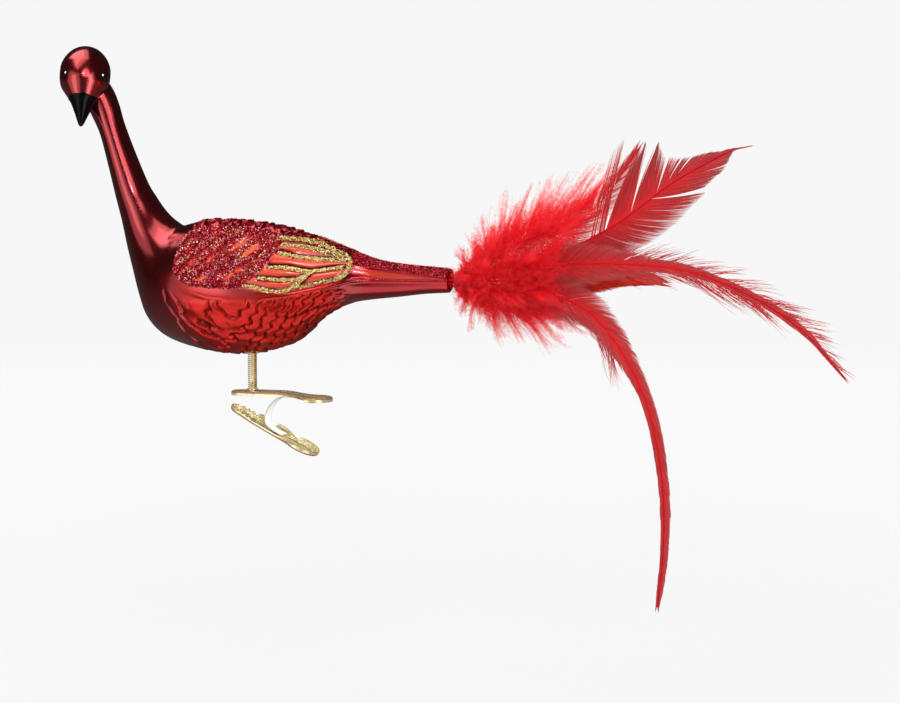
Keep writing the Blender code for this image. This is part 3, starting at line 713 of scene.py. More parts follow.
def relief(points, normals, turn):
    """Height of the moulded pattern, in millimetres, and the masks for the colours."""
    x, z = points[:, 0], points[:, 2]
    side = np.stack([x, z], axis=1)
    flank = smoothstep(0.15, 0.4, np.abs(normals[:, 1]))
    wing = signed_distance(side, WING_MM)
    in_wing = smoothstep(-0.2, 0.9, wing) * flank
    gold = np.min([line_distance(side, line) for line in GOLD_MM], axis=0)
    past_border = smoothstep(-0.6, 0.6, x - shoulder_border(z))
    flight = past_border * in_wing
    shoulder = (1 - past_border) * in_wing

    body = smoothstep(-25, -8, x + 0.30 * (z - 30)) * (1 - smoothstep(33, 45, x))
    below = z - np.interp(x, *zip(*RIDGE_MM))
    around = np.abs(turn) * 19.0
    bend = 1.5 * wobble(side, 9.0, 3) + 0.6 * wobble(side, 4.0, 4)
    bend = bend * (0.35 + 0.65 * smoothstep(-20, 4, x))
    belly = waves(x, around, bend)
    back = scales(x + 1.2 * bend, around - 0.9 * bend, 4.6, 4.0, 12)
    on_belly = (1 - smoothstep(-2.2, -0.4, below + 3.0 * (1 - smoothstep(-18, 2, x)))) * body
    on_back = smoothstep(1.0, 3.0, below) * (1 - smoothstep(-1.6, -0.1, wing * flank + (flank - 1)))
    on_back = on_back * body * smoothstep(-17.5, -13.5, x) * smoothstep(0.15, 0.5, normals[:, 2])

    oblique = side @ np.array([0.80, -0.60]) + 0.5 * bend
    leaves = np.abs(np.sin(pi * oblique / 2.6)) ** 0.7 + 0.35 * wobble(side, 1.8, 6)
    height = 0.85 * in_wing
    height += shoulder * 0.80 * leaves
    height += flight * 0.45 * smoothstep(0.2, 1.7, gold)
    height += 1.45 * on_belly * (belly - 0.45)
    height += 1.6 * on_back * (back - 0.3)
    band = np.exp(-((below + 0.3) ** 2) / 0.5) * smoothstep(-19, -8, x) * flank
    height += 0.55 * band * (1 - smoothstep(44, 52, x))
    # two creases run along the tail pipe, and glitter dusts it above the upper one
    pipe = smoothstep(40, 52, x)
    upper = z - (49.6 - 0.135 * (x - 44))
    facet = np.exp(-(upper**2) / 0.35) + 0.8 * np.exp(-((z - 44.2) ** 2) / 0.25)
    height += 0.40 * pipe * facet * flank

    # painted shade: this mask marks the low parts of the belly's rows, the back's scales and the
    # flight feathers beside the gold lines, where the glass colour is darkened
    groove_shade = np.maximum.reduce([
        on_belly * (1 - smoothstep(0.05, 0.45, belly)) * 0.92,
        on_back * (1 - smoothstep(0.05, 0.3, back)) * 0.8,
        flight * (1 - smoothstep(0.7, 1.5, gold)) * 0.6,
    ])
    dust = pipe * smoothstep(-0.2, 0.4, upper) * 0.9
    missed = np.min([leaf_reach(side, leaf) for leaf in BARE_MM], axis=0)
    bare = (1 - smoothstep(0.85, 1.15, missed)) * shoulder
    # painted highlight: a band along the tail pipe's side facet, below the upper crease, joins the
    # stripe mask so it is coloured lighter orange and less metallic
    bright = smoothstep(46, 54, x) * smoothstep(44.6, 45.4, z) * 0.5
    bright = bright * (1 - smoothstep(-1.1, -0.5, upper))
    stripe = np.maximum(flight * smoothstep(0.6, 1.3, gold), bare) * 0.95
    under = body * flank * (1 - smoothstep(0.5, 3.0, below)) * (1 - in_wing)
    rough = np.maximum.reduce([on_belly * 0.75 + on_back * 0.6, shoulder, under * 0.5])
    masks = {
        "stripe": np.maximum(stripe, bright),
        "warm": np.maximum(on_belly, under),
        "groove_shade": groove_shade,
        "dust": np.maximum(dust, shoulder * 0.4 * (1 - bare)),
        "rough": np.clip(rough + dust + 0.4 * pipe, 0, 1),
    }
    return height, masks


def make_glass_body(material):
    rows = smooth_rows([row[:5] for row in STATIONS_MM], [row[5] for row in STATIONS_MM[:-1]])
    low_x, low_z, high_x, high_z, half_width = rows.T
    low = np.stack([low_x, 0 * low_x, low_z], axis=1)
    high = np.stack([high_x, 0 * high_x, high_z], axis=1)
    centre, reach = ((low + high) / 2)[:, None], (high - low) / 2
    turn = tau * (np.arange(GLASS_SEGMENTS) / GLASS_SEGMENTS)
    turn = np.where(turn > pi, turn - tau, turn)
    points = centre + reach[:, None] * np.cos(turn)[None, :, None]
    points[..., 1] += half_width[:, None] * np.sin(turn)
    du = np.gradient(points, axis=0)
    dv = np.roll(points, -1, axis=1) - np.roll(points, 1, axis=1)
    normals = unit(np.cross(dv, du))
    normals = normals * np.sign(np.sum(normals * (points - centre), axis=2, keepdims=True))
    shape = points.shape[:2]
    from_top = np.repeat((pi - np.abs(turn))[None], len(rows), axis=0).ravel()
    height, masks = relief(points.reshape(-1, 3), normals.reshape(-1, 3), from_top)
    points = points + normals * height.reshape(shape)[..., None]

    mouth = points[0]
    inward = unit(mouth.mean(axis=0) - mouth)
    lip = [mouth + inward * inset + (-depth, 0, 0) for inset, depth in LIP_MM[::-1]]
    points = np.concatenate([np.array(lip), points])
    for key, mask in masks.items():
        mask = mask.reshape(shape)
        masks[key] = np.concatenate([np.repeat(mask[:1], len(lip), axis=0), mask])
    rings, columns = points.shape[:2]
    faces = [grid_faces(rings, columns)[:, ::-1], end_caps(rings, columns)[1:]]
    mesh = new_mesh("glass_body", points.reshape(-1, 3) * MM, faces, masks)
    return add_piece("glass_body", mesh, material, "bird", ("glass_bird",))


def head_matrix():
    lean = Matrix.Rotation(BEAK_SIDE, 4, "Y")
    tilt = Matrix.Rotation(-BEAK_TILT, 4, "X")
    turn = Matrix.Rotation(HEAD_TURN, 4, "Z")
    return Matrix.Translation(Vector(HEAD_CENTRE_MM) * MM) @ turn @ tilt @ lean


def head_radius(height):
    """The head's radius at heights along its axis, in millimetres."""
    rows = smooth_rows(HEAD_PROFILE_MM, 12)[::-1]
    return np.interp(height, rows[:, 1], np.maximum(rows[:, 0], 0))


def make_beak_paint(placed, black):
    """The beak's dipped coat of paint, thick at its uneven upper edge."""
    segments, steps = 160, 60
    angle = tau * np.arange(segments) / segments
    ring = np.stack([np.cos(angle), np.sin(angle)], axis=1)
    edge = PAINT_TOP_MM + 0.45 * wobble(ring, 1.6, 21) + 0.20 * wobble(ring, 0.4, 22)
    off_culmen = np.angle(np.exp(1j * (angle + pi / 2 - FACE_AZIMUTH - 0.10)))
    culmen = np.exp(-((off_culmen / 0.13) ** 2))
    rings = []
    for t in np.arange(steps + 1) / steps:
        height = edge + (PAINT_END_MM - edge) * t**1.3
        swell = 0.16 * smoothstep(0, 0.03, t) + 0.10 * np.exp(-(((t - 0.03) / 0.03) ** 2))
        radius = head_radius(height) + swell - 0.06 + 0.22 * culmen * t * (1.1 - t)
        rings.append(np.column_stack([ring * np.maximum(radius, 0.03)[:, None], height]))
    rings.append(np.column_stack([ring * AXIS_GAP_MM, np.full(segments, PAINT_TIP_MM)]))
    beak = ring_solid("beak_paint", np.array(rings) * MM)
    beak.transform(placed)
    add_piece("beak_paint", beak, black, "bird")


def make_head(glass, black, white):
    placed = head_matrix()
    head = turned_mesh("glass_head", smooth_profile(HEAD_PROFILE_MM, 10), 160)
    head.transform(placed)
    add_piece("glass_head", head, glass, "bird", ("glass_bird",))
    make_beak_paint(placed, black)

    for name, side in (("right", -1), ("left", 1)):
        around = FACE_AZIMUTH + side * EYE_AZIMUTH
        radius = float(head_radius(EYE_HEIGHT_MM))
        outward = Vector((sin(around), -cos(around), -0.07)).normalized()
        turn = outward.to_track_quat("Z", "Y").to_matrix().to_4x4()
        spot = Vector((sin(around) * radius, -cos(around) * radius, EYE_HEIGHT_MM)) * MM
        for part, size, rise, sunk, material in (
            ("ring", 1.22, 0.26, 0.12, black),
            ("dot", 0.46, 0.22, -0.08, white),
        ):
            dome = [(size * sin(a), rise * cos(a)) for a in np.linspace(0.02, pi / 2, 14)]
            dome.append((size * 0.9, -0.25))
            mesh = turned_mesh(f"eye_{part}_{name}", np.array(dome) * MM, 40)
            mesh.transform(placed @ Matrix.Translation(spot - outward * sunk * MM) @ turn)
            add_piece(f"eye_{part}_{name}", mesh, material, "bird")


def surface_finder(tree, ray):
    """Gives a place and its outward normal where a ray from outside meets the glass, or None.

    ray(a, b, side) says where the ray starts, in millimetres, and which way is outward there.
    """

    def find(a, b, side=1):
        start, outward = ray(a, b, side)
        start, inward = Vector([k * MM for k in start]), Vector([-k for k in outward])
        hit, normal, _, _ = tree.ray_cast(start, inward)
        if hit is None:
            return None
        return hit, -normal if normal.dot(inward) > 0 else normal

    return find


def add_glitter(name, spots, sizes, lift, seed, lean, shade, material):
    """Chips at pairs of a place and a normal, each lifted by a part of its size."""
    places, normals = (np.array(values) for values in zip(*spots))
    points, faces = chips(places + normals * sizes[:, None] * lift, normals, sizes, seed, lean)
    mesh = new_mesh(name, points, [faces], {"shade": np.repeat(shade, 6)})
    mesh.shade_flat()
    add_piece(name, mesh, material, "bird")


def make_glitter(find_side, find_top, red, gold):
    """Glitter chips: red with some gold on the shoulders, gold in beads on the feather lines."""
    rng = np.random.default_rng(31)
    low, high = np.min(WING_MM, axis=0), (21.0, np.max(WING_MM, axis=0)[1])
    reds, tones, specks, beads = [], [], [], []
    for side in (-1, 1):
        tries = rng.uniform(low, high, size=(SHOULDER_TRIES, 2))
        ragged = shoulder_border(tries[:, 1]) + 1.0 * wobble(tries, 3.0, 33)
        slant = tries @ np.array([0.62, -0.78])
        leaf = np.abs(np.sin(pi * slant / 3.4 + 0.9 * wobble(tries, 7.0, 34)))
        bare = rng.random(len(tries)) > 0.45 + 0.75 * leaf
        for shape in BARE_MM:
            bare |= leaf_reach(tries, shape) < 1 + 0.25 * wobble(tries, 1.5, 38)
        keep = signed_distance(tries, WING_MM) > -0.3 + 0.5 * wobble(tries, 2.0, 36)
        keep &= (tries[:, 0] < ragged) & ~bare
        for (x, z), tone in zip(tries[keep], leaf[keep]):
            hit = find_side(x, z, side)
            if hit is None:
                continue
            if rng.random() < GOLD_AMONG_RED:
                specks.append(hit)
            else:
                reds.append((hit[0] + hit[1] * rng.uniform(0, 0.35) * MM, hit[1]))
                tones.append(0.50 + 0.50 * tone)
        for line in SPECK_MM:
            path = smooth_rows(line, 8)
            for _ in range(int(path_shares(path)[1] * SPECKS_PER_MM)):
                x, z = path[rng.integers(len(path))] + rng.normal(0, 0.28, 2)
                hit = find_side(x, z, side)
                if hit is not None:
                    specks.append((hit[0] + hit[1] * 0.25 * MM, hit[1]))
    # the top of the tail pipe and the back: x from and to, half width, least slope, share kept
    for start, end, half, least, share in ((43, 77.5, 8, 0.45, 0.45), (-16, 44, 16, 0.5, 0.30)):
        tries_x = rng.uniform(start, end, TOP_TRIES)
        for x, y in zip(tries_x, rng.uniform(-half, half, TOP_TRIES)):
            hit = find_top(x, y)
            if hit is None or hit[1].z < least or rng.random() > share:
                continue
            reds.append(hit)
            tones.append(0.75)
    sizes = rng.uniform(0.17, 0.38, len(reds)) * MM
    shade = rng.random(len(reds)) * tones
    add_glitter("wing_glitter_red", reds, sizes, 0.3, 41, 0.9, shade, red)

    for side in (-1, 1):
        for number, line in enumerate(GOLD_MM):
            path = smooth_rows(line, 24)
            count = int(path_shares(path)[1] * BEADS_PER_MM)
            where = rng.random(count) * (len(path) - 1)
            k = where.astype(int)
            run = path[k + 1] - path[k]
            spot = path[k] + run * (where - k)[:, None]
            across = unit(run)[:, ::-1] * (-1, 1)
            offset = rng.uniform(-1, 1, count)
            half = 0.60 + 0.24 * wobble(spot, 2.2, 50 + number)
            spot = spot + across * (half * offset)[:, None]
            rise = 0.55 * np.sqrt(np.maximum(1 - offset**2, 0)) * rng.uniform(0.3, 1.0, count)
            for (x, z), up in zip(spot, rise):
                hit = find_side(x, z, side)
                if hit is not None:
                    beads.append((hit[0] + hit[1] * up * MM, hit[1]))
    beads += specks
    sizes = rng.uniform(0.15, 0.34, len(beads)) * MM
    shade = rng.random(len(beads))
    add_glitter("wing_glitter_gold", beads, sizes, 0.5, 42, 1.3, shade, gold)


# ======== stem ========


def helix_path(radius, pitch, foot, top, per_turn=28):
    angle = tau * np.arange(int((top - foot) / pitch * per_turn) + 1) / per_turn
    return np.stack(
        [radius * np.cos(angle), radius * np.sin(angle), foot + pitch * angle / tau], axis=1
    )


def wire_mesh(name, path, wire, sides=10):
    up = np.zeros_like(path)
    up[:, 2] = 1
    size = np.full((1, len(path)), wire)
    points, faces = tubes(path[None], size, size, up[None], sides)
    return new_mesh(name, points, faces)


def make_stem(wire, sheet, glue):
    """The coil in two lengths, split at the middle of the helix."""
    path = helix_path(0.00144, 0.00071, 0.00466, 0.0208) + (STEM_X, 0, 0)
    middle = len(path) // 2
    lengths = (
        ("coil_lower", path[: middle + 1], "clip_upper", "stem", 0.0052, 0.0104),
        ("coil_upper", path[middle:], "stem", "bird", 0.0135, 0.0172),
    )
    for name, part, a, b, start, end in lengths:
        mesh = wire_mesh(name, part, 0.00025)
        piece = add_piece(name, mesh, wire, None, ("stem_spring",))
        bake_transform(piece)

    to_stem = Matrix.Translation((STEM_X, 0, 0))
    plate = UPPER_NOSE[2]
    profile = (
        (0.00002, 0.0068), (0.0005, 0.0067), (0.0007, 0.0065), (0.0007, plate + 0.0008),
        (0.00185, plate + 0.0008), (0.0020, plate + 0.0007), (0.0020, plate + 0.0004),
        (0.0019, plate + 0.0003), (0.0009, plate + 0.0003), (0.0009, plate - 0.0008),
        (0.0017, plate - 0.0008), (0.0018, plate - 0.00095), (0.0016, plate - 0.0012),
        (0.0010, plate - 0.0013), (0.00002, plate - 0.0013),
    )
    mesh = turned_mesh("stem_rivet_turned", profile, 64)
    mesh.transform(to_stem)
    add_piece("stem_rivet_turned", mesh, sheet, "clip_upper", ("stem_rivet",), 35)

    # glue: a smooth meniscus around the coil, lumpy where it was pushed into the hole
    profile = (
        (0.02, 24.0), (3.4, 23.7), (4.8, 22.1), (3.5, 21.2), (3.4, 19.0), (3.2, 17.6),
        (2.7, 17.25), (2.1, 17.05), (1.80, 17.3), (1.78, 18.6), (1.78, 21.3), (0.02, 21.5),
    )
    mesh = turned_mesh("belly_glue_lump", smooth_profile(profile, 6), 72)
    co = get_points(mesh)
    outer = smoothstep(2.0 * MM, 2.6 * MM, np.hypot(co[:, 0], co[:, 1]))
    push = 0.10 * MM * wobble(co / MM, 1.8, 61) * outer
    co[:, :2] += unit(co[:, :2]) * push[:, None]
    co[:, 2] += push
    set_points(mesh, co)
    mesh.transform(to_stem)
    add_piece("belly_glue_lump", mesh, glue, "bird", ("belly_glue",))


# ======== clip ========


def half_outline(length):
    """One side of a lever's plan from the nose to the pad's end, in millimetres."""
    nose, waist, pad = 4.5, 5.0, 6.8
    side = [(nose - nose * cos(a), 4.0 * sin(a)) for a in np.linspace(0.01, pi / 2, 26)]
    side += [(x, 4.0 + (x - nose) / 6.5) for x in np.linspace(4.9, 11.0, 16)]
    side += [(x, waist) for x in np.linspace(11.4, 21.0, 26)]
    centre = length - pad
    turns = np.linspace(radians(52), pi - 0.01, 46)
    return np.array(side + [(centre - pad * cos(a), pad * sin(a)) for a in turns])


def stamped_lever(name, length, drop, rim_near, rim_far, emboss):
    """A tray stamped from sheet. The rims' depths follow x; emboss(x, y) raises the floor."""
    half = half_outline(length)
    outline = np.concatenate([half * (1, -1), half[::-1]])
    tangent = unit(np.roll(outline, -1, axis=0) - np.roll(outline, 1, axis=0))
    inward = np.stack([-tangent[:, 1], tangent[:, 0]], axis=1)
    near, far = (np.interp(outline[:, 0], *zip(*rim)) for rim in (rim_near, rim_far))
    near_side = smoothstep(-1.0, 1.0, -outline[:, 1])
    depth = near_side * near + (1 - near_side) * far

    def ring(inset, height, shrink=1.0):
        flat = (outline + inward * inset) * (1, shrink)
        return np.column_stack([flat, np.broadcast_to(height, len(flat))])

    shrinks = np.linspace(1, 0.0, 18)[1:]

    def face(inset):
        """One face of the sheet: its rim, the bend and the floor, shrinking to the midline."""
        bend = LEVER_BEND_MM - inset
        rings = [ring(inset, -depth + 0.12), ring(inset, -LEVER_BEND_MM)]
        for a in np.linspace(0.2, pi / 2, 7):
            rings.append(ring(inset + bend * (1 - cos(a)), -inset - bend * (1 - sin(a))))
        return rings + [ring(LEVER_BEND_MM, -inset, s) for s in shrinks]

    lip = [ring(0.12, -depth + 0.02), ring(0.38, -depth + 0.02)]
    rings = np.array([*face(0.0)[::-1], *lip, *face(LEVER_SHEET_MM)])
    points = rings.reshape(-1, 3)
    floor = smoothstep(-LEVER_BEND_MM, -LEVER_BEND_MM * 0.4, points[:, 2])
    points[:, 2] += floor * emboss(points[:, 0], points[:, 1])
    points[:, 2] -= drop * smoothstep(19.0, 31.5, points[:, 0])
    # the bend's outer rings are the lever's worn edge
    worn = np.zeros(len(rings))
    worn[len(shrinks) + 3 : len(shrinks) + 7] = 0.8
    edge = np.repeat(worn, len(outline))
    return new_mesh(name, points * MM, [grid_faces(len(rings), len(outline))], {"edge": edge})


def bumped(*shapes):
    """Sum of raised or sunk shapes: rounded bars (x0, x1, half width, y, height)."""

    def emboss(x, y):
        total = 0 * x
        for x0, x1, half, middle, height in shapes:
            dx = np.maximum(np.maximum(x0 - x, x - x1), 0)
            d = np.hypot(dx, y - middle)
            total = total + height * (1 - smoothstep(half * 0.55, half, d))
        return total

    return emboss


def make_clip(sheet, steel):
    # the lower lever is turned over, so its near rim is the stamping's far one
    turned_over = Matrix.Rotation(LOWER_PITCH, 4, "Y") @ Matrix.Rotation(pi, 4, "X")
    levers = (
        ("upper", 38.3, 1.4, UPPER_NEAR_MM, UPPER_FAR_MM, (29.0, 35.0, 1.5, 0.0, -0.45),
         Matrix.Translation(UPPER_NOSE)),
        ("lower", 36.8, 0.3, LOWER_NEAR_MM, LOWER_FAR_MM, (25.5, 33.0, 1.5, 0.0, -0.7),
         Matrix.Translation(LOWER_NOSE) @ turned_over),
    )
    for end, length, drop, near, far, pad, placed in levers:
        name = f"{end}_lever_stamped"
        mesh = stamped_lever(name, length, drop, near, far, bumped(*PRESSED_MM, pad))
        mesh.transform(placed)
        add_piece(name, mesh, sheet, f"clip_{end}", (f"clip_{end}_lever",), 50)

    path = smooth_rows(LEAF_PATH_MM, 10)
    path = np.stack([path[:, 0], 0 * path[:, 0], path[:, 1]], axis=1)
    up = np.cross(unit(np.gradient(path, axis=0)), (0, 1.0, 0))
    half = LEAF_HALF_MM
    rounded = [(3.0 - half + half * sin(a), -half * cos(a)) for a in np.linspace(0, pi, 7)]
    section = [(2.6, -half), *rounded, (2.6, half)]
    section += [(-y, -t) for y, t in section]
    points = np.stack([path + (0, y, 0) + up * t for y, t in section], axis=1)
    count, sides = points.shape[:2]
    # the strip's rounded side edges take the darker edge colour
    edge = np.tile([float(abs(y) > 2.7) for y, _ in section], count)
    faces = [grid_faces(count, sides), end_caps(count, sides)]
    mesh = new_mesh("leaf_strip", points.reshape(-1, 3) * MM, faces, {"edge": edge})
    leaf = add_piece("leaf_strip", mesh, steel, None, ("clip_leaf_spring",), 60)
    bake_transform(leaf)


# ======== feathers ========

BUNDLE_MM = np.array((BUNDLE_END_MM, 0.0, 44.4))
QUILL_END_MM = np.array(TAIL_MOUTH_MM) + (-1.3, 0, 0)
BARB_POINTS = 9
LOOSE_BARBS = 230
# Each feather: its place in the bundle, the path of its shaft, and its two vanes. A vane is a
# table of: how far along the shaft, barb length, angle at the barb's root and at its tip.
FEATHERS = {
    "feather_upper": {
        "path": ((100, 0.4, 47.8), (118, 1.5, 55.0), (136, 4.0, 64.6), (155, 6.0, 78.6),
                 (168, 7.0, 86.0), (175.5, 7.6, 89.8), (181.8, 8.0, 91.4)),
        "up": ((0.46, 30, 50, 44), (0.502, 33, 48, 42), (0.512, 29, 42, 36), (0.545, 28.5, 40, 34),
               (0.592, 25.5, 41, 37), (0.60, 23.5, 38, 31), (0.66, 20, 42, 40),
               (0.685, 13.5, 38, 36), (0.71, 12, 30, 22), (0.80, 11, 20, 9),
               (0.88, 6.5, 12, 4), (0.94, 2.5, 8, 3), (1.0, 1.2, 4, 1)),
        "down": ((0.30, 12, 60, 50), (0.44, 14, 56, 44), (0.52, 16, 52, 40), (0.60, 18, 44, 32),
                 (0.66, 19, 34, 22), (0.75, 16.5, 28, 16), (0.82, 12, 22, 9), (0.88, 7, 13, 4),
                 (0.94, 2.5, 8, 3), (1.0, 1.2, 4, 1)),
        "splits": {"up": ((0.507, 7), (0.596, 5), (0.690, 3), (0.72, 3), (0.745, 3)),
                   "down": ((0.67, 6), (0.80, 3))},
        "sparse_up": (0.50, 0.20),
        "barbs": 720, "shaft": 0.62, "fray": 0.30, "barb": 0.115,
    },
    "feather_middle": {
        "path": ((100, 0.9, 44.6), (118, 1.2, 46.0), (134, 1.4, 46.8), (145, 1.2, 46.2),
                 (153, 1.0, 45.0)),
        "up": ((0.25, 14, 55, 35), (0.5, 15, 40, 22), (0.75, 12, 32, 14), (1.0, 4, 14, 4)),
        "down": ((0.25, 14, 55, 35), (0.5, 14, 38, 20), (0.75, 10, 28, 10), (1.0, 4, 14, 4)),
        "splits": {"up": ((0.62, 4),)},
        "barbs": 420, "shaft": 0.50, "fray": 0.6,
    },
    "feather_drooping": {
        "path": ((99, -1.8, 46.8), (118, -6.0, 50.6), (138, -9.0, 51.9), (162, -11.0, 50.2),
                 (184, -12.0, 43.0), (203, -13.0, 31.4), (218, -14.0, 15.8)),
        "up": ((0.22, 14, 46, 32), (0.36, 11, 36, 20), (0.46, 8, 26, 12), (0.6, 6.5, 20, 8),
               (0.8, 7, 18, 6), (1.0, 3, 8, 2)),
        "down": ((0.22, 15, 46, 30), (0.36, 12, 36, 20), (0.46, 8, 26, 10), (0.6, 6, 20, 8),
                 (0.8, 7, 18, 6), (1.0, 3, 8, 2)),
        "splits": {"up": ((0.42, 4),), "down": ((0.5, 4),)},
        "barbs": 560, "shaft": 0.55, "fray": 0.7,
        "loose_up": (0.34, 0.97, 24, 42, 10, 16, 5.5),
        "loose_down": (0.32, 0.74, 20, 34, 13, 20, 5.0),
    },
    "feather_hanging": {
        "path": ((98, -1.6, 43.0), (115, -6.0, 41.4), (131, -10.0, 34.8), (144, -13.0, 20.0),
                 (152.5, -14.0, 2.0), (157.2, -15.0, -20.0), (158.0, -15.0, -42.0),
                 (156.0, -15.0, -63.6)),
        "up": ((0.20, 13, 40, 26), (0.36, 11, 28, 14), (0.50, 9.5, 18, 9), (0.75, 9, 17, 8),
               (0.93, 7, 15, 6), (1.0, 2.5, 14, 6)),
        "down": ((0.20, 15, 46, 32), (0.36, 12, 30, 15), (0.50, 9.5, 18, 8), (0.75, 8.5, 14, 6),
                 (0.93, 6, 12, 5), (1.0, 2.5, 14, 6)),
        "splits": {"up": (), "down": ()},
        "barbs": 620, "shaft": 0.50, "fray": 0.5,
        "loose_down": (0.12, 0.44, 26, 50, 12, 18, 4.0),
    },
    "feather_upper_short": {
        "path": ((98, 1.8, 48.0), (112, 5.0, 56.4), (124, 8.5, 67.0), (134, 11.0, 78.0),
                 (141, 13.0, 90.0)),
        "up": ((0.25, 12, 50, 34), (0.55, 14, 38, 20), (0.8, 10, 26, 12), (1.0, 4, 12, 4)),
        "down": ((0.25, 12, 50, 34), (0.55, 13, 38, 20), (0.8, 10, 26, 12), (1.0, 4, 12, 4)),
        "splits": {"up": ((0.5, 6), (0.7, 5)), "down": ((0.6, 6),)},
        "barbs": 90, "shaft": 0.34, "fray": 1.0,
    },
}
FACING = np.array((0.22, -1.0, 0.0))


def quill_offset(number):
    """Where a feather's quill lies in the bundle, away from its axis."""
    angle = tau * number / 5
    return np.array((0, -sin(angle), cos(angle))) * 0.8


def add_shaft(name, path, girth, flatness, facing, sides, material):
    share = path_shares(path)[0]
    normals = np.repeat(facing[None], len(path), axis=0)[None]
    thick = girth[None] * flatness * MM
    points, faces = tubes(path[None] * MM, girth[None] * MM, thick, normals, sides)
    mesh = new_mesh(name + "_shaft", points, faces, {"along": np.repeat(share, sides)})
    add_piece(name + "_shaft", mesh, material, "bird", (name,))


class Strands:
    """Many thin tubes in one mesh, with a shade for each and places along them for colour."""

    def __init__(self):
        self.points, self.faces, self.shade, self.along = [], [], [], []
        self.count = 0

    def add(self, paths, wide, thick, normals, sides, shade, along):
        points, faces = tubes(paths * MM, wide * MM, thick * MM, normals, sides)
        self.faces += [group + self.count for group in faces]
        self.count += len(points)
        self.points.append(points)
        for stored, values in ((self.shade, shade[:, None]), (self.along, along)):
            stored.append(np.repeat(np.broadcast_to(values, paths.shape[:2]), sides))

    def add_piece(self, name, material, slot, replaces):
        attributes = {"shade": np.concatenate(self.shade), "along": np.concatenate(self.along)}
        mesh = new_mesh(name, np.concatenate(self.points), self.faces, attributes)
        add_piece(name, mesh, material, "bird", (replaces,))


def curl(first, last, lengths, points):
    """How far barbs reach forward and sideways, point by point, from an angle to another."""
    t = np.linspace(0, 1, points)
    middle = (t[1:] + t[:-1]) / 2
    angle = np.radians(first[:, None] + (last - first)[:, None] * middle[None])
    step = (lengths / (points - 1))[:, None]
    root = np.zeros((len(lengths), 1))
    parts = (np.cos(angle) * step, np.sin(angle) * step)
    return [np.concatenate([root, np.cumsum(part, axis=1)], 1) for part in parts]


def laid_out(roots, directions, reaches):
    """Points that lie away from each root along its directions."""
    path = roots[:, None]
    for direction, reach in zip(directions, reaches):
        path = path + direction[:, None] * reach[..., None]
    return path


def barb_paths(roots, along, upward, lengths, first, last, seed):
    """Curved barbs in a vane's plane: angles from the shaft run from first to last, in degrees."""
    rng = np.random.default_rng(seed)
    count = (len(roots), 1)
    forward, sideways = curl(first, last, lengths, BARB_POINTS)
    normal = unit(np.cross(along, upward))
    lift = (0.10 + 0.03 * rng.normal(size=count)) * sideways**2 / 12.0
    lift = lift + 0.12 * rng.normal(size=count) * np.linspace(0, 1, BARB_POINTS)[None]
    path = laid_out(roots, (along, upward, normal), (forward, sideways, lift))
    return path, np.repeat(normal[:, None], BARB_POINTS, axis=1)


def lock_moods(seed, lock):
    """Three random numbers for each barb, the same for all of its lock."""
    return np.random.default_rng(seed).normal(size=(400, 3))[lock.astype(int) % 400]


def split_angles(place, splits, width):
    """Turns of barbs beside a vane's splits: those before one lean back, those after, forward."""
    turn = np.zeros_like(place)
    for at, gap in splits:
        gone = (place - at) / width
        turn += np.where(gone < 0, 1, -1) * gap / 2 * np.exp(-np.abs(gone))
    return turn


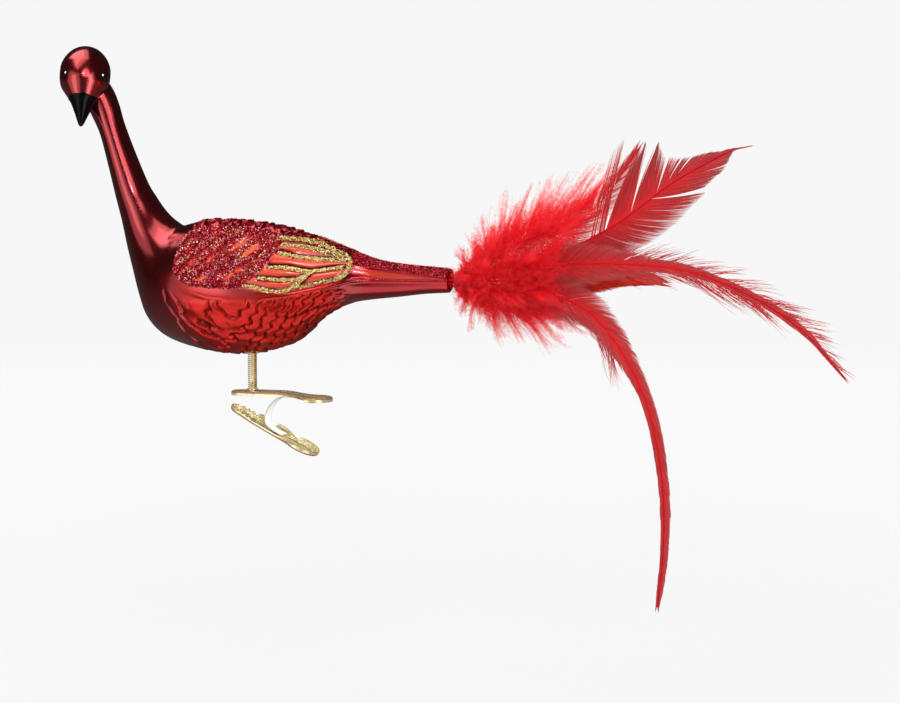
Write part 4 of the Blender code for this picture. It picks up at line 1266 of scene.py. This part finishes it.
def make_feather(number, name, facts, material, shaft_material):
    rng = np.random.default_rng(100 + number)
    offset = quill_offset(number)
    start = QUILL_END_MM + offset
    path = smooth_rows(np.vstack([BUNDLE_MM + offset, *np.array(facts["path"], float)]), 16)
    path = np.vstack([start[None], path])
    share, total = path_shares(path)
    tangent = unit(np.gradient(path, axis=0))
    girth = facts["shaft"] * (1 - 0.86 * share**0.8)
    add_shaft(name, path, girth, 0.8, FACING, 10, shaft_material)

    fray = facts["fray"]
    made = []
    for key, sign in (("up", 1), ("down", -1)):
        table = np.array(facts[key], float)
        splits = facts["splits"].get(key, ())
        place = np.linspace(table[0, 0], 0.995, facts["barbs"])
        place = place + rng.normal(0, 0.0006, len(place))
        length, first, last = (np.interp(place, table[:, 0], table[:, k]) for k in (1, 2, 3))
        lock = np.floor(place * total / 2.3 + 0.6 * wobble(place[:, None], 0.05, 7 + number))
        mood = lock_moods(500 + number, lock)
        length = length * (1 + fray * (0.05 * mood[:, 0] + 0.03 * rng.normal(size=len(place))))
        turn = split_angles(place, splits, 0.06)
        first = first + turn * 0.5
        last = last + turn + fray * (1.6 * mood[:, 1] + 0.8 * rng.normal(size=len(place)))
        full, kept = facts.get("sparse_" + key, (0, 1))
        keep = (place > full) | (rng.random(len(place)) < kept)
        for at, gap in splits:
            keep &= np.abs(place - at) > 0.0003 * gap
        barbs = (place[keep], length[keep], first[keep], last[keep])
        made.append((*barbs, sign, facts.get("barb", 0.12)))
        if "loose_" + key in facts:
            low, high, near, far, short, long, clump = facts["loose_" + key]
            count = LOOSE_BARBS
            place = np.sort(rng.uniform(low, high, count))
            lock = np.floor(place * total / clump)
            centre = (lock + 0.5) * clump / total
            mood = lock_moods(700 + number, lock)
            fade = 1 - 0.55 * smoothstep(0.75, 1.0, place)
            length = rng.uniform(short, long, count) * (1 + 0.15 * mood[:, 0]) * fade
            gather = (centre - place) * total * 2.2
            first = rng.uniform(near, far, count) + 3 * mood[:, 1]
            last = first * 0.35 - gather + 4 * mood[:, 1]
            made.append((place, length, first, last, sign, 0.07))
    vane = Strands()
    t = np.linspace(0, 1, BARB_POINTS)
    for place, length, first, last, sign, width in made:
        along = unit(on_path(place, share, tangent))
        upward = unit(np.cross(np.repeat(FACING[None], len(place), axis=0), along)) * sign
        barbs, normals = barb_paths(
            on_path(place, share, path), along, upward, length, np.maximum(first, 1.0), last,
            900 + number,
        )
        wide = (width * (1 - t**2.2) ** 0.7 + 0.012)[None] * rng.uniform(0.6, 1.4, (len(place), 1))
        vane.add(barbs, wide, wide * 0 + 0.028, normals, 4, rng.random(len(place)), t)
    vane.add_piece(name + "_vane", material, "feather", name)


# ======== marabou ========

# Each plume's length and how far it opens, from the top plume round.
PLUMES_MM = (
    (48, 29), (42, 26), (36, 21), (32, 20), (29, 21), (29, 21), (32, 20), (36, 21), (42, 26),
)
BARBS_OF_PLUME = 640
TUFTS = 10
BARBS_IN_TUFTS = 130
BARBULES_OF_BARB = 28


def make_plume(number, material, shaft_material):
    """A marabou plume: a thin shaft with long soft barbs, each carrying fine barbules."""
    rng = np.random.default_rng(200 + number)
    length, opening = PLUMES_MM[number]
    angle = tau * number / len(PLUMES_MM)
    outward = np.array((0, -sin(angle), cos(angle)))
    leave = BUNDLE_MM + outward * 2.05
    rise = np.array(Matrix.Rotation(-radians(10), 3, "Y"))
    path = [QUILL_END_MM + outward * 2.05, leave]
    for t in np.linspace(0, 1, 17)[1:]:
        reach = length * (t - 0.45 * (t - t * t)) * 1.02
        away = opening * 0.55 * (t + 0.45 * (t - t * t))
        path.append(leave + rise @ (np.array((reach, 0, 0)) + outward * away))
    path = np.array(path)
    share = path_shares(path)[0]
    tangent = unit(np.gradient(path, axis=0))
    name = f"marabou_plume_{number + 1}"
    add_shaft(name, path, 0.34 * (1 - 0.85 * share), 1.0, outward, 8, shaft_material)

    # the first barbs gather in tufts, which stand out from the plume, and the rest lie evenly
    count, tufts = BARBS_OF_PLUME, TUFTS
    place = rng.uniform(0.07, 0.98, count)
    tuft = np.arange(count) < BARBS_IN_TUFTS
    group = np.arange(count) % tufts
    gathered = np.linspace(0.14, 0.95, tufts)[group] + rng.normal(0, 0.012, count)
    place = np.where(tuft, gathered, place)
    along = unit(on_path(place, share, tangent))
    astray = rng.random(count) < 0.3
    swing = np.where(astray, rng.uniform(-pi, pi, count), rng.normal(0, 1.1, count))
    gathered = rng.normal(0, 0.45, tufts)[group] + rng.normal(0, 0.05, count)
    swing = np.where(tuft, gathered, swing)
    tangential = unit(np.cross(along, outward[None]))
    radial = np.cross(tangential, along)
    side = radial * np.cos(swing)[:, None] + tangential * np.sin(swing)[:, None]
    third = np.cross(along, side)
    barb_length = rng.uniform(9, 19, count) * (1 - 0.25 * place) * (0.80 + 0.25 * opening / 30)
    barb_length = barb_length * (0.34 + 0.66 * smoothstep(0.12, 0.42, place))
    lean_back = rng.random(count) < 0.07
    first = np.where(lean_back, rng.uniform(70, 115, count), rng.uniform(28, 66, count))
    last = first * rng.uniform(0.35, 1.0, count)
    reach = (15 + 13 * place) * (0.55 + 0.45 * opening / 29) * rng.uniform(0.8, 1.1, tufts)[group]
    reach = reach * (0.45 + 0.55 * smoothstep(0.05, 0.45, place))
    barb_length = np.where(tuft, reach * rng.uniform(0.8, 1.05, count), barb_length)
    swept = 88 - 45 * place + rng.normal(0, 9, tufts)[group]
    first = np.where(tuft, swept + rng.normal(0, 3.0, count), first)
    last = np.where(tuft, swept * 0.75 + rng.normal(0, 2.0, count), last)
    forward, sideways = curl(first, last, barb_length, BARB_POINTS)
    t = np.linspace(0, 1, BARB_POINTS)
    sway = rng.normal(0, 1.6, (count, 1)) * t**1.5
    sway = sway + 0.5 * np.sin(t * 9 + rng.uniform(0, tau, (count, 1))) * t
    sway = sway * np.where(tuft, 0.25, 1.0)[:, None]
    root = on_path(place, share, path)
    barbs = laid_out(root, (along, side, third), (forward, sideways, sway))
    normals = np.repeat(third[:, None], BARB_POINTS, axis=1)
    wide = np.repeat((0.050 * (1 - t) + 0.012)[None], count, axis=0)
    fluff = Strands()
    fluff.add(barbs, wide, wide, normals, 3, rng.random(count), t)

    each = BARBULES_OF_BARB
    where = rng.uniform(0.05, 0.97, (count, each)) * (BARB_POINTS - 1)
    k = where.astype(int)
    rows = np.arange(count)[:, None]
    run = barbs[rows, k + 1] - barbs[rows, k]
    fine_root = barbs[rows, k] + run * (where - k)[..., None]
    fine_along = unit(run)
    fine_side = unit(np.cross(fine_along, unit(rng.normal(size=(count, each, 3)))))
    size = rng.uniform(0.9, 2.6, (count, each)) * (1 - 0.5 * where / BARB_POINTS)
    size = (size * np.where(tuft, 0.75, 1.0)[:, None])[..., None]
    curve = np.array((0.0, 0.5, 1.0))
    fine = (
        fine_root[:, :, None]
        + fine_along[:, :, None] * (size * curve**1.6 * 0.75)[..., None]
        + fine_side[:, :, None] * (size * curve * 0.75)[..., None]
    ).reshape(-1, 3, 3)
    flat = np.repeat(np.cross(fine_along, fine_side).reshape(-1, 1, 3), 3, axis=1)
    thin = np.repeat(np.array((0.032, 0.026, 0.008))[None], len(fine), axis=0)
    tip = (where / (BARB_POINTS - 1)).reshape(-1, 1) * 0.8 + 0.2 * curve
    fluff.add(fine, thin, thin, flat, 3, np.repeat(rng.random(count), each), tip)
    fluff.add_piece(name + "_barbs", material, "fluff", name)


def make_tail_root(cork, thread):
    profile = (
        (0.02, 5.0), (2.2, 4.9), (2.55, 4.4), (2.6, 0.0), (2.6, -4.4), (2.2, -4.9), (0.02, -5.0),
    )
    mesh = turned_mesh("plug_carved", smooth_profile(profile, 5, 2.62), 48)
    co = get_points(mesh)
    set_points(mesh, co * (1 + 0.02 * wobble(co / MM, 1.2, 71)[:, None]))
    mouth = Vector(TAIL_MOUTH_MM) * MM
    turn = Matrix.Rotation(pi / 2, 4, "Y")
    mesh.transform(Matrix.Translation(mouth - Vector((0.0066, 0, 0))) @ turn)
    add_piece("plug_carved", mesh, cork, "bird", ("tail_plug",))

    coil = wire_mesh("thread_wound", helix_path(0.00310, 0.00056, 0.0, 0.0028, 40), 0.0003, 8)
    coil.transform(Matrix.Translation((0.0799, 0, mouth.z)) @ turn)
    add_piece("thread_wound", coil, thread, "bird", ("quill_binding",))


# ======== the whole ornament ========

make_camera()
make_world()
for settings in SOFTBOXES:
    softbox(*settings)
make_floor()

GLASS = glass_material()
BLACK = paint_material("black_enamel", (0.002, 0.002, 0.002), 0.08, 0.07)
WHITE = paint_material("white_enamel", (0.85, 0.85, 0.83), 0.25)
RED_GLITTER = glitter_material(
    "red_glitter", 0.75,
    (0.0, (0.12, 0.002, 0.006)), (0.38, (0.60, 0.010, 0.030)), (0.66, (1.0, 0.090, 0.130)),
    (0.90, (1.0, 0.70, 0.72)),
)
GOLD_GLITTER = glitter_material(
    "gold_glitter", 0.6,
    (0.0, (0.22, 0.12, 0.015)), (0.35, (0.82, 0.56, 0.11)), (0.70, (1.0, 0.84, 0.34)),
    (1.0, (1.0, 0.98, 0.80)),
)
BROWN = (0.50, 0.24, 0.07)
GREY = (0.36, 0.34, 0.27)
WIRE = metal_material("gilt_wire_drawn", (0.96, 0.80, 0.36), (0.66, 0.50, 0.18), BROWN, 300.0, 0.75)
SHEET = metal_material(
    "gilt_sheet_pressed", (1.0, 0.94, 0.66), (0.74, 0.60, 0.28), BROWN, 220.0, 0.70
)
STEEL = metal_material(
    "bright_spring_steel", (0.97, 0.97, 0.96), (0.90, 0.90, 0.89), GREY, 260.0, 0.0
)
GLUE = paint_material("amber_glue", (0.55, 0.36, 0.10), 0.35)
CORK = paint_material("cork_grain", (0.42, 0.26, 0.13), 0.8)
THREAD = paint_material("red_thread", (0.30, 0.01, 0.015), 0.7)
FEATHER = fibre_material(
    "dyed_feather", (0.69, 0.026, 0.034), (0.63, 0.064, 0.069), (0.57, 0.135, 0.140)
)
ORANGE_FEATHER = fibre_material(
    "dyed_feather_orange", (0.80, 0.030, 0.020), (0.80, 0.048, 0.024), (0.74, 0.050, 0.040)
)
SHAFT = fibre_material(
    "dyed_shaft", (0.80, 0.018, 0.026), (0.72, 0.012, 0.020), (0.10, 0.008, 0.010)
)
FLUFF = fibre_material(
    "dyed_marabou", (1.0, 0.022, 0.038), (1.0, 0.028, 0.046), (0.86, 0.095, 0.11), 0.58, 0.6
)

body = make_glass_body(GLASS)
make_head(GLASS, BLACK, WHITE)
polygons = [tuple(p.vertices) for p in body.data.polygons]
side_tree = BVHTree.FromPolygons(get_points(body.data).tolist(), polygons)
top_tree = BVHTree.FromObject(body, bpy.context.evaluated_depsgraph_get())
find_side = surface_finder(side_tree, lambda x, z, side: ((x, side * 50, z), (0, side, 0)))
find_top = surface_finder(top_tree, lambda x, y, side: ((x, y, 200), (0, 0, 1)))
make_glitter(find_side, find_top, RED_GLITTER, GOLD_GLITTER)
make_stem(WIRE, SHEET, GLUE)
make_clip(SHEET, STEEL)
for order, (feather, facts) in enumerate(FEATHERS.items()):
    made_of = ORANGE_FEATHER if feather == "feather_middle" else FEATHER
    make_feather(order, feather, facts, made_of, SHAFT)
for order in range(len(PLUMES_MM)):
    make_plume(order, FLUFF, SHAFT)
make_tail_root(CORK, THREAD)


def plain(box):
    return [[float(value) for value in corner] for corner in box]


{"cad": plain(CAD_BOX), "visual": plain(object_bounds())}
